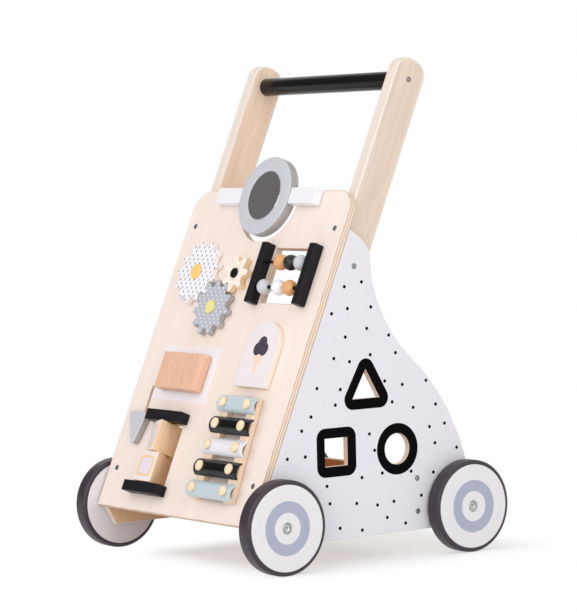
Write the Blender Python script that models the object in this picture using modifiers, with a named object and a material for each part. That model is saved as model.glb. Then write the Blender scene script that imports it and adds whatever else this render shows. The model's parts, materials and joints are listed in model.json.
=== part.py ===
"""Toy hand cart: a push-along wooden walker with an activity board, built as separate pieces.

Metres, +Z up. The cart stands on z = 0, is symmetric about x = 0 and has y = 0 midway between its axles.
Its sloping front board faces -Y and its push handle is at the back, above the storage bin.
Places on the front board are (across, up the slope, out of the face), from the line where the plane of
its front face meets the ground.
"""
import math

import bmesh
import bpy
from mathutils import Vector
from mathutils.geometry import interpolate_bezier

MM = 0.001

# Clearances
GAP = 0.3 * MM            # between pieces that touch
RUNNING = 0.5 * MM        # round pieces that turn or slide

# Boards
BODY_WIDTH = 291.0 * MM
BOARD_THICK = 8.0 * MM
TILT = math.radians(23.4)
BOARD_FOOT = 181.2 * MM   # from the middle of the wheelbase forward to the face's ground line
BOARD_LOW = 56.3 * MM
BOARD_HIGH = 430.8 * MM
BOARD_CORNER = 25.0 * MM
FLOOR_TOP = 66.5 * MM
FLOOR_THICK = 8.0 * MM
REAR_BOARD_Y = 63.9 * MM
REAR_BOARD_LOW = 32.0 * MM
REAR_BOARD_HIGH = 94.0 * MM

# Side boards: depths are measured back from the front board, along Y
SIDE_LOW = 28.5 * MM
SIDE_CHAMFER_HEIGHT = 20.9 * MM
SIDE_CHAMFER_RUN = 11.5 * MM
SIDE_TOP = 354.5 * MM
SHOULDER_HEIGHT = 320.5 * MM
SHOULDER_DEPTH = 40.8 * MM
WAIST_HEIGHT = 210.2 * MM
WAIST_DEPTH = 145.0 * MM
TAIL_HEIGHT = 61.8 * MM
TAIL_PAST_AXLE = 10.7 * MM
TAIL_CORNER = 30.0 * MM
TOP_HEADING = math.radians(56.0)     # of the rear edge, from straight down
WAIST_HEADING = math.radians(49.0)
TAIL_HEADING = math.radians(-8.0)
SHOULDER_PULL_ABOVE = 0.5            # of the rear edge: Bezier reach as a share of the drop beside it
SHOULDER_PULL_BELOW = 0.42
WAIST_PULL_ABOVE = 0.34
WAIST_PULL_BELOW = 0.37
TAIL_PULL_ABOVE = 0.29
CORNER_PULL = 0.55                   # of a corner, for a round quarter
SQUARE_HOLE = 30.0 * MM
SQUARE_PLACE = (-43.5 * MM, 120.9 * MM)
TRIANGLE_HOLE = 36.6 * MM
TRIANGLE_PLACE = (-2.4 * MM, 185.2 * MM)
ROUND_HOLE = 33.6 * MM
ROUND_PLACE = (37.9 * MM, 117.9 * MM)

# Uprights and handle
UPRIGHT_THICK = 15.0 * MM
UPRIGHT_DEPTH = 40.0 * MM
UPRIGHT_TOP = 593.8 * MM
UPRIGHT_CORNER = 13.0 * MM
HANDLE_DROP = 24.5 * MM
HANDLE_DIAMETER = 20.0 * MM
HANDLE_SEAT = 5.0 * MM

# Wheels
WHEELBASE = 249.0 * MM
WHEEL_DIAMETER = 100.0 * MM
TYRE_THICK = 4.6 * MM
TYRE_WIDTH = 17.6 * MM
TYRE_ROUND = 2.2 * MM
WHEEL_GAP = 2.6 * MM      # side board to tyre
DISC_PROUD = 0.8 * MM     # of the tyre's sides
HUB_DIAMETER = 26.0 * MM
BOLT_DIAMETER = 6.0 * MM
BOLT_HEAD = 10.0 * MM
BOLT_HEAD_THICK = 3.2 * MM
BOLT_RECESS = 4.5 * MM
RECESS_DIAMETER = 13.2 * MM
NUT_DIAMETER = 11.0 * MM
NUT_THICK = 5.0 * MM

# Mirror
MIRROR_DIAMETER = 89.0 * MM
MIRROR_THICK = 12.0 * MM
MIRROR_UP = 421.0 * MM
MIRROR_LEAN = math.radians(3.0)
NOTCH_CLEAR = 6.0 * MM
GLASS_DIAMETER = 55.6 * MM
GLASS_THICK = 2.5 * MM
MOUNT_LENGTH = 46.4 * MM
MOUNT_HEIGHT = 18.5 * MM
MOUNT_DEPTH = 10.5 * MM
PIVOT_DIAMETER = 6.0 * MM
PIVOT_SEAT = 7.0 * MM

# Gears
GEAR_MODULE = 5.26 * MM
GEAR_THICK = 7.5 * MM
TOOTH_SHARE = 0.43        # of the pitch, across a tooth
ROOT_SHARE = 0.52         # of the pitch, across the round between two teeth
TOOTH_TIP = 3.2 * MM      # beyond the pitch circle
TOOTH_ROOT = 4.4 * MM     # within it
TIP_SWEEP = 160.0
ROOT_SWEEP = 140.0
GREY_GEAR_PLACE = (-38.0 * MM, 290.6 * MM)
WHITE_GEAR_BEARING = math.radians(140.1)
NATURAL_GEAR_BEARING = math.radians(58.0)
GREY_TEETH = 11
WHITE_TEETH = 13
NATURAL_TEETH = 7
GEAR_PIN_DIAMETER = 6.0 * MM
GEAR_HEAD_THICK = 1.8 * MM
WHITE_GEAR_HEAD = 17.5 * MM
GREY_GEAR_HEAD = 15.5 * MM
NATURAL_GEAR_HEAD = 11.5 * MM

# Abacus
ABACUS_X = 73.6 * MM
ABACUS_SPACING = 86.0 * MM
POST_WIDTH = 10.5 * MM
POST_DEPTH = 12.0 * MM
POST_LOW = 298.0 * MM
POST_HIGH = 366.6 * MM
ROD_DIAMETER = 3.2 * MM
ROD_SEAT = 6.0 * MM
UPPER_ROD_MARGIN = 21.2 * MM         # post's upper end to the upper rod
LOWER_ROD_MARGIN = 19.0 * MM         # post's lower end to the lower rod
BEAD_DIAMETER = 17.2 * MM
WINDOW_MARGIN = 3.0 * MM
UPPER_LAST_SHARE = 0.17   # of the free rod, beyond the last upper bead
LOWER_SHARES = (0.11, 0.38, 0.11)    # of the free rod, before each lower bead

# Turning picture blocks
FLIP_FROM_SLOT = 54.5 * MM
FLIP_LOW = 86.6 * MM
FLIP_SIDE = 41.0 * MM
FLIP_HEIGHT = 34.4 * MM
FLIP_ROUND = 1.0 * MM
FLIP_AXIS = 3.4 * MM      # rod above the board's face
FLIP_TURN = math.radians(-23.0)
FLIP_CLEAR = 2.8 * MM
FLIP_ROD = 4.0 * MM
FLIP_ROD_COVER = 3.6 * MM # bar beyond the end of the rod
FLIP_BAR_LENGTH = 67.0 * MM
FLIP_BAR_HEIGHT = 12.0 * MM
FLIP_BAR_DEPTH = 12.5 * MM

# Triangle slider
SLOT_INSET = 12.2 * MM    # upright to the middle of the slot
SLOT_WIDTH = 4.0 * MM
SLIDER_UP = 150.0 * MM
SLIDER_TRAVEL = 46.0 * MM
SLIDER_THICK = 8.0 * MM
SLIDER_LEFT = 20.5 * MM
SLIDER_RIGHT = 16.5 * MM
SLIDER_ABOVE = 16.0 * MM
SLIDER_BELOW = 27.5 * MM
SLIDER_TIP_OFFSET = 6.5 * MM
SLIDER_ROUND = 4.0 * MM
SLIDER_PIN_COVER = 3.2 * MM
SLIDER_FOOT = 10.0 * MM
SLIDER_FOOT_THICK = 2.5 * MM

# Wooden block and arched picture plate
BLOCK_FROM_SLOT = 56.7 * MM
BLOCK_UP = 214.7 * MM
BLOCK_WIDTH = 76.5 * MM
BLOCK_HEIGHT = 42.3 * MM
BLOCK_DEPTH = 12.3 * MM
BLOCK_ROUND = 3.0 * MM
ARCH_X = 76.3 * MM
ARCH_LOW = 205.0 * MM
ARCH_WIDTH = 57.5 * MM
ARCH_STRAIGHT = 45.3 * MM
ARCH_THICK = 6.2 * MM

# Xylophone
XYLO_X = 72.2 * MM
XYLO_LOW = 88.3 * MM      # middle of the longest bar
XYLO_PITCH = 23.9 * MM
XYLO_BARS = 5
LONG_BAR = 81.5 * MM
SHORT_BAR = 67.5 * MM
BAR_WIDTH = 18.8 * MM
BAR_RISE = 7.6 * MM
BAR_SHEET = 1.6 * MM
RAIL_WIDTH = 17.0 * MM
RAIL_HEIGHT = 7.2 * MM
RAIL_OUT = 2.9 * MM       # middle of the rail beyond its pegs
RAIL_PAST_BAR = 10.0 * MM
PEG_INSET = 11.85 * MM    # bar end to peg
PEG_DIAMETER = 4.6 * MM
PEG_HEAD = 11.5 * MM
PEG_HEAD_THICK = 3.8 * MM
PEG_HEAD_EDGE = 1.5 * MM

EDGE_ROUND = 1.0 * MM
SHARP_ANGLE = math.radians(35.0)
FINE = 28                 # facets round a wheel, hole or board corner
MEDIUM = 20               # facets round a bead, knob or dowel
COARSE = 12               # facets round a small pin or tooth

# Places that follow from the sizes above
SIDE_OUT = BODY_WIDTH / 2
SIDE_IN = SIDE_OUT - BOARD_THICK
BEHIND_BOARD = BOARD_THICK + GAP
THROUGH = 3 * BOARD_THICK                    # length of a cut right through a board
AXLE_HEIGHT = WHEEL_DIAMETER / 2
AXLE_Y = WHEELBASE / 2
UPRIGHT_OUT = SIDE_IN - GAP
UPRIGHT_IN = UPRIGHT_OUT - UPRIGHT_THICK
SLOT_X = SLOT_INSET - UPRIGHT_IN
FLIP_X = SLOT_X + FLIP_FROM_SLOT
HANDLE_UP = UPRIGHT_TOP - HANDLE_DROP
HANDLE_OUT = -(BEHIND_BOARD + UPRIGHT_DEPTH / 2)
SIDEWAYS = (math.pi / 2, 0.0, math.pi / 2)   # outline's X and Y become Y and Z, its thickness X
UPWARD = (-math.pi / 2, 0.0, 0.0)            # a piece's own Z becomes up the slope
ACROSS = (0.0, math.pi / 2, 0.0)             # a piece's own Z becomes X


def start_collection(name):
    """Empty collection of that name, linked to the scene."""
    collection = bpy.data.collections.new(name)
    bpy.context.scene.collection.children.link(collection)
    return collection


def finish(name, colour, roughness=0.5, metallic=0.0):
    """Principled material from an sRGB hex colour."""
    material = bpy.data.materials.new(name)
    material.use_nodes = True
    shader = material.node_tree.nodes["Principled BSDF"]
    channels = [int(colour[i:i + 2], 16) / 255 for i in (1, 3, 5)]
    linear = [c / 12.92 if c <= 0.04045 else ((c + 0.055) / 1.055) ** 2.4 for c in channels]
    shader.inputs["Base Color"].default_value = (*linear, 1.0)
    shader.inputs["Roughness"].default_value = roughness
    shader.inputs["Metallic"].default_value = metallic
    material.diffuse_color = (*linear, 1.0)
    return material


def add_frame(name, place, turn, parent=None):
    """Empty that carries other pieces."""
    frame = bpy.data.objects.new(name, None)
    frame.location = place
    frame.rotation_euler = turn
    frame.parent = parent
    PARTS.objects.link(frame)
    return frame


def add_piece(name, mesh, material, place=(0, 0, 0), turn=(0, 0, 0), parent=None):
    """Object for one physical piece, placed in its parent's frame."""
    piece = bpy.data.objects.new(name, mesh)
    piece.location = place
    piece.rotation_euler = turn
    piece.parent = parent
    PARTS.objects.link(piece)
    piece.data.materials.append(material)
    return piece


def shape_piece(target, mesh, place=(0, 0, 0), turn=(0, 0, 0), parent=None, operation="DIFFERENCE"):
    """Cut a shape out of a piece, or join it on, with a hidden tool object."""
    tool = bpy.data.objects.new(f"{target.name}_tool", mesh)
    tool.location = place
    tool.rotation_euler = turn
    tool.parent = parent
    tool.hide_render = True
    tool.display_type = "WIRE"
    TOOLS.objects.link(tool)
    change = target.modifiers.new(operation.lower(), "BOOLEAN")
    change.operation = operation
    change.solver = "EXACT"
    change.object = tool
    return tool


def round_edges(piece, width, segments=2):
    """Bevel every sharp edge of a piece."""
    bevel = piece.modifiers.new("edges", "BEVEL")
    bevel.width = width
    bevel.segments = segments
    bevel.limit_method = "ANGLE"
    return piece


def smooth(piece):
    """Shade a round piece smooth, but keep its hard edges."""
    piece.data.shade_smooth()
    piece.data.set_sharp_from_angle(angle=SHARP_ANGLE)
    return piece


def box_mesh(width, depth, height):
    """Box about its own middle."""
    shape = bmesh.new()
    bmesh.ops.create_cube(shape, size=1.0)
    bmesh.ops.scale(shape, vec=(width, depth, height), verts=shape.verts)
    return mesh_from(shape)


def cylinder_mesh(diameter, length, facets=COARSE):
    """Cylinder along its own Z, about its own middle."""
    shape = bmesh.new()
    bmesh.ops.create_cone(
        shape, cap_ends=True, segments=facets, radius1=diameter / 2, radius2=diameter / 2, depth=length
    )
    return mesh_from(shape)


def mesh_from(shape):
    """Mesh data from a finished bmesh."""
    mesh = bpy.data.meshes.new("shape")
    shape.to_mesh(mesh)
    shape.free()
    return mesh


def outline_mesh(points, thickness):
    """Flat closed outline, extruded by half its thickness to each side."""
    curve = bpy.data.curves.new("outline", "CURVE")
    curve.dimensions = "2D"
    curve.fill_mode = "BOTH"
    curve.extrude = thickness / 2
    spline = curve.splines.new("POLY")
    spline.points.add(len(points) - 1)
    for knot, (x, y) in zip(spline.points, points):
        knot.co = (x, y, 0.0, 1.0)
    spline.use_cyclic_u = True
    holder = bpy.data.objects.new("outline", curve)
    bpy.context.scene.collection.objects.link(holder)
    graph = bpy.context.evaluated_depsgraph_get()
    mesh = bpy.data.meshes.new_from_object(holder.evaluated_get(graph))
    bpy.data.objects.remove(holder)
    shape = bmesh.new()
    shape.from_mesh(mesh)
    bmesh.ops.remove_doubles(shape, verts=shape.verts, dist=1e-6)
    bmesh.ops.recalc_face_normals(shape, faces=shape.faces)
    shape.to_mesh(mesh)
    shape.free()
    return mesh


def turned_piece(name, profile, material, place, turn=(0, 0, 0), parent=None, facets=FINE, ring=False):
    """Profile of (radius, height) points turned about the piece's own Z, outer side from top to bottom."""
    mesh = bpy.data.meshes.new(name)
    links = [(i, i + 1) for i in range(len(profile) - 1)]
    if ring:
        links.append((len(profile) - 1, 0))
    mesh.from_pydata([(radius, 0.0, height) for radius, height in profile], links, [])
    piece = add_piece(name, mesh, material, place, turn, parent)
    screw = piece.modifiers.new("turn", "SCREW")
    screw.steps = facets
    screw.render_steps = facets
    screw.use_merge_vertices = True
    screw.merge_threshold = 1e-6
    screw.use_smooth_shade = True
    return piece


def arc(centre, radius, start, end, facets=FINE):
    """Points along part of a circle that has that many facets, angles in degrees."""
    steps = max(2, round(abs(end - start) * facets / 360))
    angles = [math.radians(start + (end - start) * i / steps) for i in range(steps + 1)]
    return [(centre[0] + radius * math.cos(a), centre[1] + radius * math.sin(a)) for a in angles]


def triangle_corners(side):
    """Corners of an even triangle about its own middle, its apex up."""
    reach = side / math.sqrt(3)
    angles = [math.radians(a) for a in (90, 210, 330)]
    return [(reach * math.cos(a), reach * math.sin(a)) for a in angles]


def rounded(corners, radius):
    """Outline with its corners rounded; the corners run anticlockwise and are convex."""
    outline = []
    count = len(corners)
    for i, (x, y) in enumerate(corners):
        before = corners[i - 1]
        after = corners[(i + 1) % count]
        into = math.atan2(y - before[1], x - before[0])
        away = math.atan2(after[1] - y, after[0] - x)
        bend = (away - into) % (2 * math.pi)
        back = radius * math.tan(bend / 2)
        start = (x - back * math.cos(into), y - back * math.sin(into))
        centre = (start[0] - radius * math.sin(into), start[1] + radius * math.cos(into))
        first = math.degrees(into) - 90
        outline += arc(centre, radius, first, first + math.degrees(bend), COARSE)
    return outline


def board_back(height):
    """Y just behind the front board at a height above the ground."""
    return -BOARD_FOOT + height * math.tan(TILT) + BEHIND_BOARD / math.cos(TILT)


def build_front_board():
    """Sloping activity board, with all its windows, its slot and the pin holes."""
    half = BODY_WIDTH / 2
    top = BOARD_HIGH - BOARD_CORNER
    outline = [(-half, BOARD_LOW), (half, BOARD_LOW)]
    outline += arc((half - BOARD_CORNER, top), BOARD_CORNER, 0, 90)
    outline += arc((BOARD_CORNER - half, top), BOARD_CORNER, 90, 180)
    middle = -BOARD_THICK / 2
    board = add_piece("front_board", outline_mesh(outline, BOARD_THICK), BIRCH, (0, 0, middle), parent=FRONT)
    notch = cylinder_mesh(MIRROR_DIAMETER + 2 * NOTCH_CLEAR, THROUGH, 2 * FINE)
    shape_piece(board, notch, (0, MIRROR_UP, middle), parent=FRONT)
    window_width = ABACUS_SPACING - POST_WIDTH - 2 * WINDOW_MARGIN
    window_height = POST_HIGH - POST_LOW - 2 * WINDOW_MARGIN
    window_up = (POST_LOW + POST_HIGH) / 2
    window = box_mesh(window_width, window_height, THROUGH)
    shape_piece(board, window, (ABACUS_X, window_up, middle), parent=FRONT)
    flip_width = 2 * (FLIP_SIDE / math.sqrt(3) + FLIP_CLEAR)
    flip_window = box_mesh(flip_width, flip_span(), THROUGH)
    shape_piece(board, flip_window, (FLIP_X, FLIP_LOW + flip_span() / 2, middle), parent=FRONT)
    slot_half = SLOT_WIDTH / 2
    slot = arc((0, 0), slot_half, 180, 360, COARSE) + arc((0, SLIDER_TRAVEL), slot_half, 0, 180, COARSE)
    shape_piece(board, outline_mesh(slot, THROUGH), (SLOT_X, SLIDER_UP, middle), parent=FRONT)
    for _, _, place, _ in gear_train():
        hole = cylinder_mesh(GEAR_PIN_DIAMETER + 2 * GAP, THROUGH)
        shape_piece(board, hole, (*place, middle), parent=FRONT)


def smooth_curve(knots, steps=8):
    """Points through knots of (place, heading from straight down, reach before, reach after)."""
    points = []
    for (start, leaving, _, after), (end, arriving, before, _) in zip(knots, knots[1:]):
        first = (start[0] + after * math.sin(leaving), start[1] - after * math.cos(leaving))
        second = (end[0] - before * math.sin(arriving), end[1] + before * math.cos(arriving))
        stretch = interpolate_bezier(Vector(start), Vector(first), Vector(second), Vector(end), steps + 1)
        points += [tuple(point[:2]) for point in stretch[:-1]]
    return points + [knots[-1][0]]


def side_outline():
    """Edge of a side board: straight below and in front, S-shaped behind."""
    chamfer = SIDE_LOW + SIDE_CHAMFER_HEIGHT
    tail_y = AXLE_Y + TAIL_PAST_AXLE
    shoulder_rise = SIDE_TOP - SHOULDER_HEIGHT
    shoulder_drop = SHOULDER_HEIGHT - WAIST_HEIGHT
    tail_drop = WAIST_HEIGHT - TAIL_HEIGHT
    bend = CORNER_PULL * TAIL_CORNER
    shoulder = (board_back(SHOULDER_HEIGHT) + SHOULDER_DEPTH, SHOULDER_HEIGHT)
    waist = (board_back(WAIST_HEIGHT) + WAIST_DEPTH, WAIST_HEIGHT)
    knots = [
        ((board_back(SIDE_TOP), SIDE_TOP), TOP_HEADING, 0.0, SHOULDER_PULL_ABOVE * shoulder_rise),
        (shoulder, 0.0, SHOULDER_PULL_ABOVE * shoulder_rise, SHOULDER_PULL_BELOW * shoulder_drop),
        (waist, WAIST_HEADING, WAIST_PULL_ABOVE * shoulder_drop, WAIST_PULL_BELOW * tail_drop),
        ((tail_y, TAIL_HEIGHT), TAIL_HEADING, TAIL_PULL_ABOVE * tail_drop, bend),
        ((tail_y - TAIL_CORNER, SIDE_LOW), -math.pi / 2, bend, 0.0),
    ]
    front = [(board_back(chamfer) + SIDE_CHAMFER_RUN, SIDE_LOW), (board_back(chamfer), chamfer)]
    return smooth_curve(knots) + front


def build_side_boards():
    """Two side boards with a square, a triangular and a round sorting hole each, and axle holes."""
    triangle = triangle_corners(TRIANGLE_HOLE)
    for side, name in ((-1, "left_side_board"), (1, "right_side_board")):
        x = side * (SIDE_OUT - BOARD_THICK / 2)
        board = add_piece(name, outline_mesh(side_outline(), BOARD_THICK), DOTTED_WHITE, (x, 0, 0), SIDEWAYS)
        shape_piece(board, box_mesh(THROUGH, SQUARE_HOLE, SQUARE_HOLE), (x, *SQUARE_PLACE))
        shape_piece(board, outline_mesh(triangle, THROUGH), (x, *TRIANGLE_PLACE), SIDEWAYS)
        shape_piece(board, cylinder_mesh(ROUND_HOLE, THROUGH, FINE), (x, *ROUND_PLACE), ACROSS)
        for y in (-AXLE_Y, AXLE_Y):
            shape_piece(board, cylinder_mesh(BOLT_DIAMETER + 2 * GAP, THROUGH), (x, y, AXLE_HEIGHT), ACROSS)


def build_uprights():
    """Two posts with rounded top corners behind the front board, and the handle bar seated between them."""
    low_corner = BEHIND_BOARD + UPRIGHT_DEPTH
    low = (FLOOR_TOP + GAP + low_corner * math.sin(TILT)) / math.cos(TILT)
    corner = UPRIGHT_CORNER
    outline = [(low, -BEHIND_BOARD), (low, -low_corner)]
    outline += arc((UPRIGHT_TOP - corner, corner - low_corner), corner, -90, 0)
    outline += arc((UPRIGHT_TOP - corner, -BEHIND_BOARD - corner), corner, 0, 90)
    handle_half = UPRIGHT_IN + HANDLE_SEAT
    for side, name in ((-1, "left_upright"), (1, "right_upright")):
        x = side * (UPRIGHT_IN + UPRIGHT_THICK / 2)
        post = add_piece(name, outline_mesh(outline, UPRIGHT_THICK), BEECH, (x, 0, 0), SIDEWAYS, FRONT)
        socket = cylinder_mesh(HANDLE_DIAMETER + 2 * GAP, 2 * (handle_half + GAP), MEDIUM)
        shape_piece(post, socket, (0, HANDLE_UP, HANDLE_OUT), ACROSS, FRONT)
    bar = cylinder_mesh(HANDLE_DIAMETER, 2 * handle_half, MEDIUM)
    smooth(add_piece("handle_bar", bar, BLACK, (0, HANDLE_UP, HANDLE_OUT), ACROSS, FRONT))


def build_bin():
    """Floor of the storage bin, mitred against the front board, and its low rear board."""
    width = 2 * (SIDE_IN - GAP)
    low = FLOOR_TOP - FLOOR_THICK
    rear = REAR_BOARD_Y - BOARD_THICK / 2 - GAP
    outline = [(board_back(low), low), (rear, low), (rear, FLOOR_TOP), (board_back(FLOOR_TOP), FLOOR_TOP)]
    add_piece("floor_board", outline_mesh(outline, width), BIRCH, turn=SIDEWAYS)
    height = REAR_BOARD_HIGH - REAR_BOARD_LOW
    middle = (REAR_BOARD_HIGH + REAR_BOARD_LOW) / 2
    add_piece("rear_board", box_mesh(width, BOARD_THICK, height), BIRCH, (0, REAR_BOARD_Y, middle))


def build_wheel(name, side, y):
    """Disc with a hub, its rubber tyre, and the bolt with its nut that it turns on."""
    half = TYRE_WIDTH / 2
    centre = (side * (SIDE_OUT + WHEEL_GAP + half), y, AXLE_HEIGHT)
    turn = (0.0, side * math.pi / 2, 0.0)
    radius = WHEEL_DIAMETER / 2
    seat = radius - TYRE_THICK
    face = half + DISC_PROUD
    hub_end = -half - WHEEL_GAP + RUNNING
    recess_floor = face - BOLT_RECESS
    bore = BOLT_DIAMETER / 2 + RUNNING
    recess = RECESS_DIAMETER / 2
    disc = [
        (seat, face), (seat, -face), (HUB_DIAMETER / 2, -face), (HUB_DIAMETER / 2, hub_end),
        (bore, hub_end), (bore, recess_floor), (recess, recess_floor), (recess, face),
    ]
    turned_piece(f"{name}_wheel", disc, WHITE, centre, turn, ring=True)
    inner = seat + GAP
    corner = TYRE_ROUND * (1 - math.sqrt(0.5))
    tyre = [
        (radius - TYRE_ROUND, half), (radius - corner, half - corner), (radius, half - TYRE_ROUND),
        (radius, TYRE_ROUND - half), (radius - corner, corner - half), (radius - TYRE_ROUND, -half),
        (inner, -half), (inner, half),
    ]
    turned_piece(f"{name}_tyre", tyre, RUBBER, centre, turn, ring=True)
    head_low = recess_floor + GAP
    head_top = head_low + BOLT_HEAD_THICK
    shank = BOLT_DIAMETER / 2
    nut_top = -half - WHEEL_GAP - BOARD_THICK - GAP
    nut_low = nut_top - NUT_THICK
    bolt = [
        (0, head_top), (BOLT_HEAD / 2, head_top), (BOLT_HEAD / 2, head_low), (shank, head_low),
        (shank, nut_top), (NUT_DIAMETER / 2, nut_top), (NUT_DIAMETER / 2, nut_low), (0, nut_low),
    ]
    turned_piece(f"{name}_axle_bolt", bolt, STEEL, centre, turn, facets=COARSE)


def build_mirror():
    """Round mirror that turns over between two white mounts, in the notch of the front board."""
    out = MOUNT_DEPTH / 2
    radius = MIRROR_DIAMETER / 2
    half = MIRROR_THICK / 2
    pocket = GLASS_DIAMETER / 2 + GAP
    pocket_floor = half - GLASS_THICK - GAP
    pin_in = radius - PIVOT_SEAT
    mount_in = radius + RUNNING
    pin_out = mount_in + PIVOT_SEAT
    frame = add_frame("mirror_frame", (0, MIRROR_UP, out), (MIRROR_LEAN, 0, 0), FRONT)
    profile = [
        (radius - EDGE_ROUND, half), (radius, half - EDGE_ROUND), (radius, EDGE_ROUND - half),
        (radius - EDGE_ROUND, -half), (0, -half),
    ]
    rim = [(0, pocket_floor), (pocket, pocket_floor), (pocket, half)]
    ring = turned_piece("mirror_ring", rim + profile, GREY, (0, 0, 0), parent=frame)
    glass = cylinder_mesh(GLASS_DIAMETER, GLASS_THICK, FINE)
    smooth(add_piece("mirror_glass", glass, MIRROR, (0, 0, half - GLASS_THICK / 2), parent=frame))
    for side, name in ((-1, "left"), (1, "right")):
        mount = box_mesh(MOUNT_LENGTH, MOUNT_HEIGHT, MOUNT_DEPTH - GAP)
        mount_x = side * (mount_in + MOUNT_LENGTH / 2)
        place = (mount_x, MIRROR_UP, (MOUNT_DEPTH + GAP) / 2)
        holder = round_edges(add_piece(f"{name}_mirror_mount", mount, WHITE, place, parent=FRONT), EDGE_ROUND)
        pin_x = side * (pin_in + pin_out) / 2
        pin_place = (pin_x, MIRROR_UP, out)
        pin = cylinder_mesh(PIVOT_DIAMETER, pin_out - pin_in)
        smooth(add_piece(f"{name}_mirror_pin", pin, STEEL, pin_place, ACROSS, FRONT))
        seat = cylinder_mesh(PIVOT_DIAMETER + 2 * GAP, pin_out - pin_in + 2 * GAP)
        shape_piece(holder, seat, pin_place, ACROSS, FRONT)
        bearing = cylinder_mesh(PIVOT_DIAMETER + 2 * RUNNING, pin_out - pin_in + 2 * GAP)
        shape_piece(ring, bearing, (pin_x, 0, 0), ACROSS, frame)


def gear_train():
    """Name, teeth, place and turn of each gear: a grey one between a white and a natural one."""
    grey_step = 2 * math.pi / GREY_TEETH
    grey_turn = WHITE_GEAR_BEARING + grey_step / 2

    def meet(teeth, bearing):
        reach = GEAR_MODULE * (GREY_TEETH + teeth) / 2
        x = GREY_GEAR_PLACE[0] + reach * math.cos(bearing)
        y = GREY_GEAR_PLACE[1] + reach * math.sin(bearing)
        lead = (grey_turn - bearing) % grey_step
        gap_at = bearing + math.pi - lead * GREY_TEETH / teeth
        return (x, y), gap_at - math.pi / teeth

    white_place, white_turn = meet(WHITE_TEETH, WHITE_GEAR_BEARING)
    natural_place, natural_turn = meet(NATURAL_TEETH, NATURAL_GEAR_BEARING)
    return (
        ("grey_gear", GREY_TEETH, GREY_GEAR_PLACE, grey_turn),
        ("white_gear", WHITE_TEETH, white_place, white_turn),
        ("natural_gear", NATURAL_TEETH, natural_place, natural_turn),
    )


def gear_outline(teeth):
    """Round-tipped teeth with round roots between them."""
    radius = GEAR_MODULE * teeth / 2
    pitch = math.pi * GEAR_MODULE
    tip = TOOTH_SHARE * pitch / 2
    root = ROOT_SHARE * pitch / 2
    outline = []
    for i in range(teeth):
        angle = 2 * math.pi * i / teeth
        reach = radius + TOOTH_TIP - tip
        centre = (reach * math.cos(angle), reach * math.sin(angle))
        facing = math.degrees(angle)
        outline += arc(centre, tip, facing - TIP_SWEEP / 2, facing + TIP_SWEEP / 2, COARSE)
        angle += math.pi / teeth
        reach = radius - TOOTH_ROOT + root
        centre = (reach * math.cos(angle), reach * math.sin(angle))
        facing = math.degrees(angle) + 180
        outline += arc(centre, root, facing + ROOT_SWEEP / 2, facing - ROOT_SWEEP / 2, COARSE)
    return outline


def build_gears():
    """Three meshing wooden gears, each turning on a headed pin in the front board."""
    looks = {
        "white_gear": (WHITE, ORANGE, WHITE_GEAR_HEAD),
        "grey_gear": (GREY, YELLOW, GREY_GEAR_HEAD),
        "natural_gear": (BIRCH, BLACK, NATURAL_GEAR_HEAD),
    }
    back = RUNNING
    for name, teeth, place, turn in gear_train():
        material, head_material, head = looks[name]
        middle = (*place, back + GEAR_THICK / 2)
        plate = outline_mesh(gear_outline(teeth), GEAR_THICK)
        gear = add_piece(name, plate, material, middle, (0, 0, turn), FRONT)
        bore = cylinder_mesh(GEAR_PIN_DIAMETER + 2 * RUNNING, 2 * GEAR_THICK)
        shape_piece(gear, bore, middle, parent=FRONT)
        head_low = back + GEAR_THICK + GAP
        head_top = head_low + GEAR_HEAD_THICK
        shank = GEAR_PIN_DIAMETER / 2
        rim = head / 2 - EDGE_ROUND
        profile = [
            (0, head_top), (rim, head_top), (head / 2, head_top - EDGE_ROUND), (head / 2, head_low),
            (shank, head_low), (shank, -BOARD_THICK), (0, -BOARD_THICK),
        ]
        turned_piece(f"{name}_pin", profile, head_material, (*place, 0), parent=FRONT, facets=MEDIUM)


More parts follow.
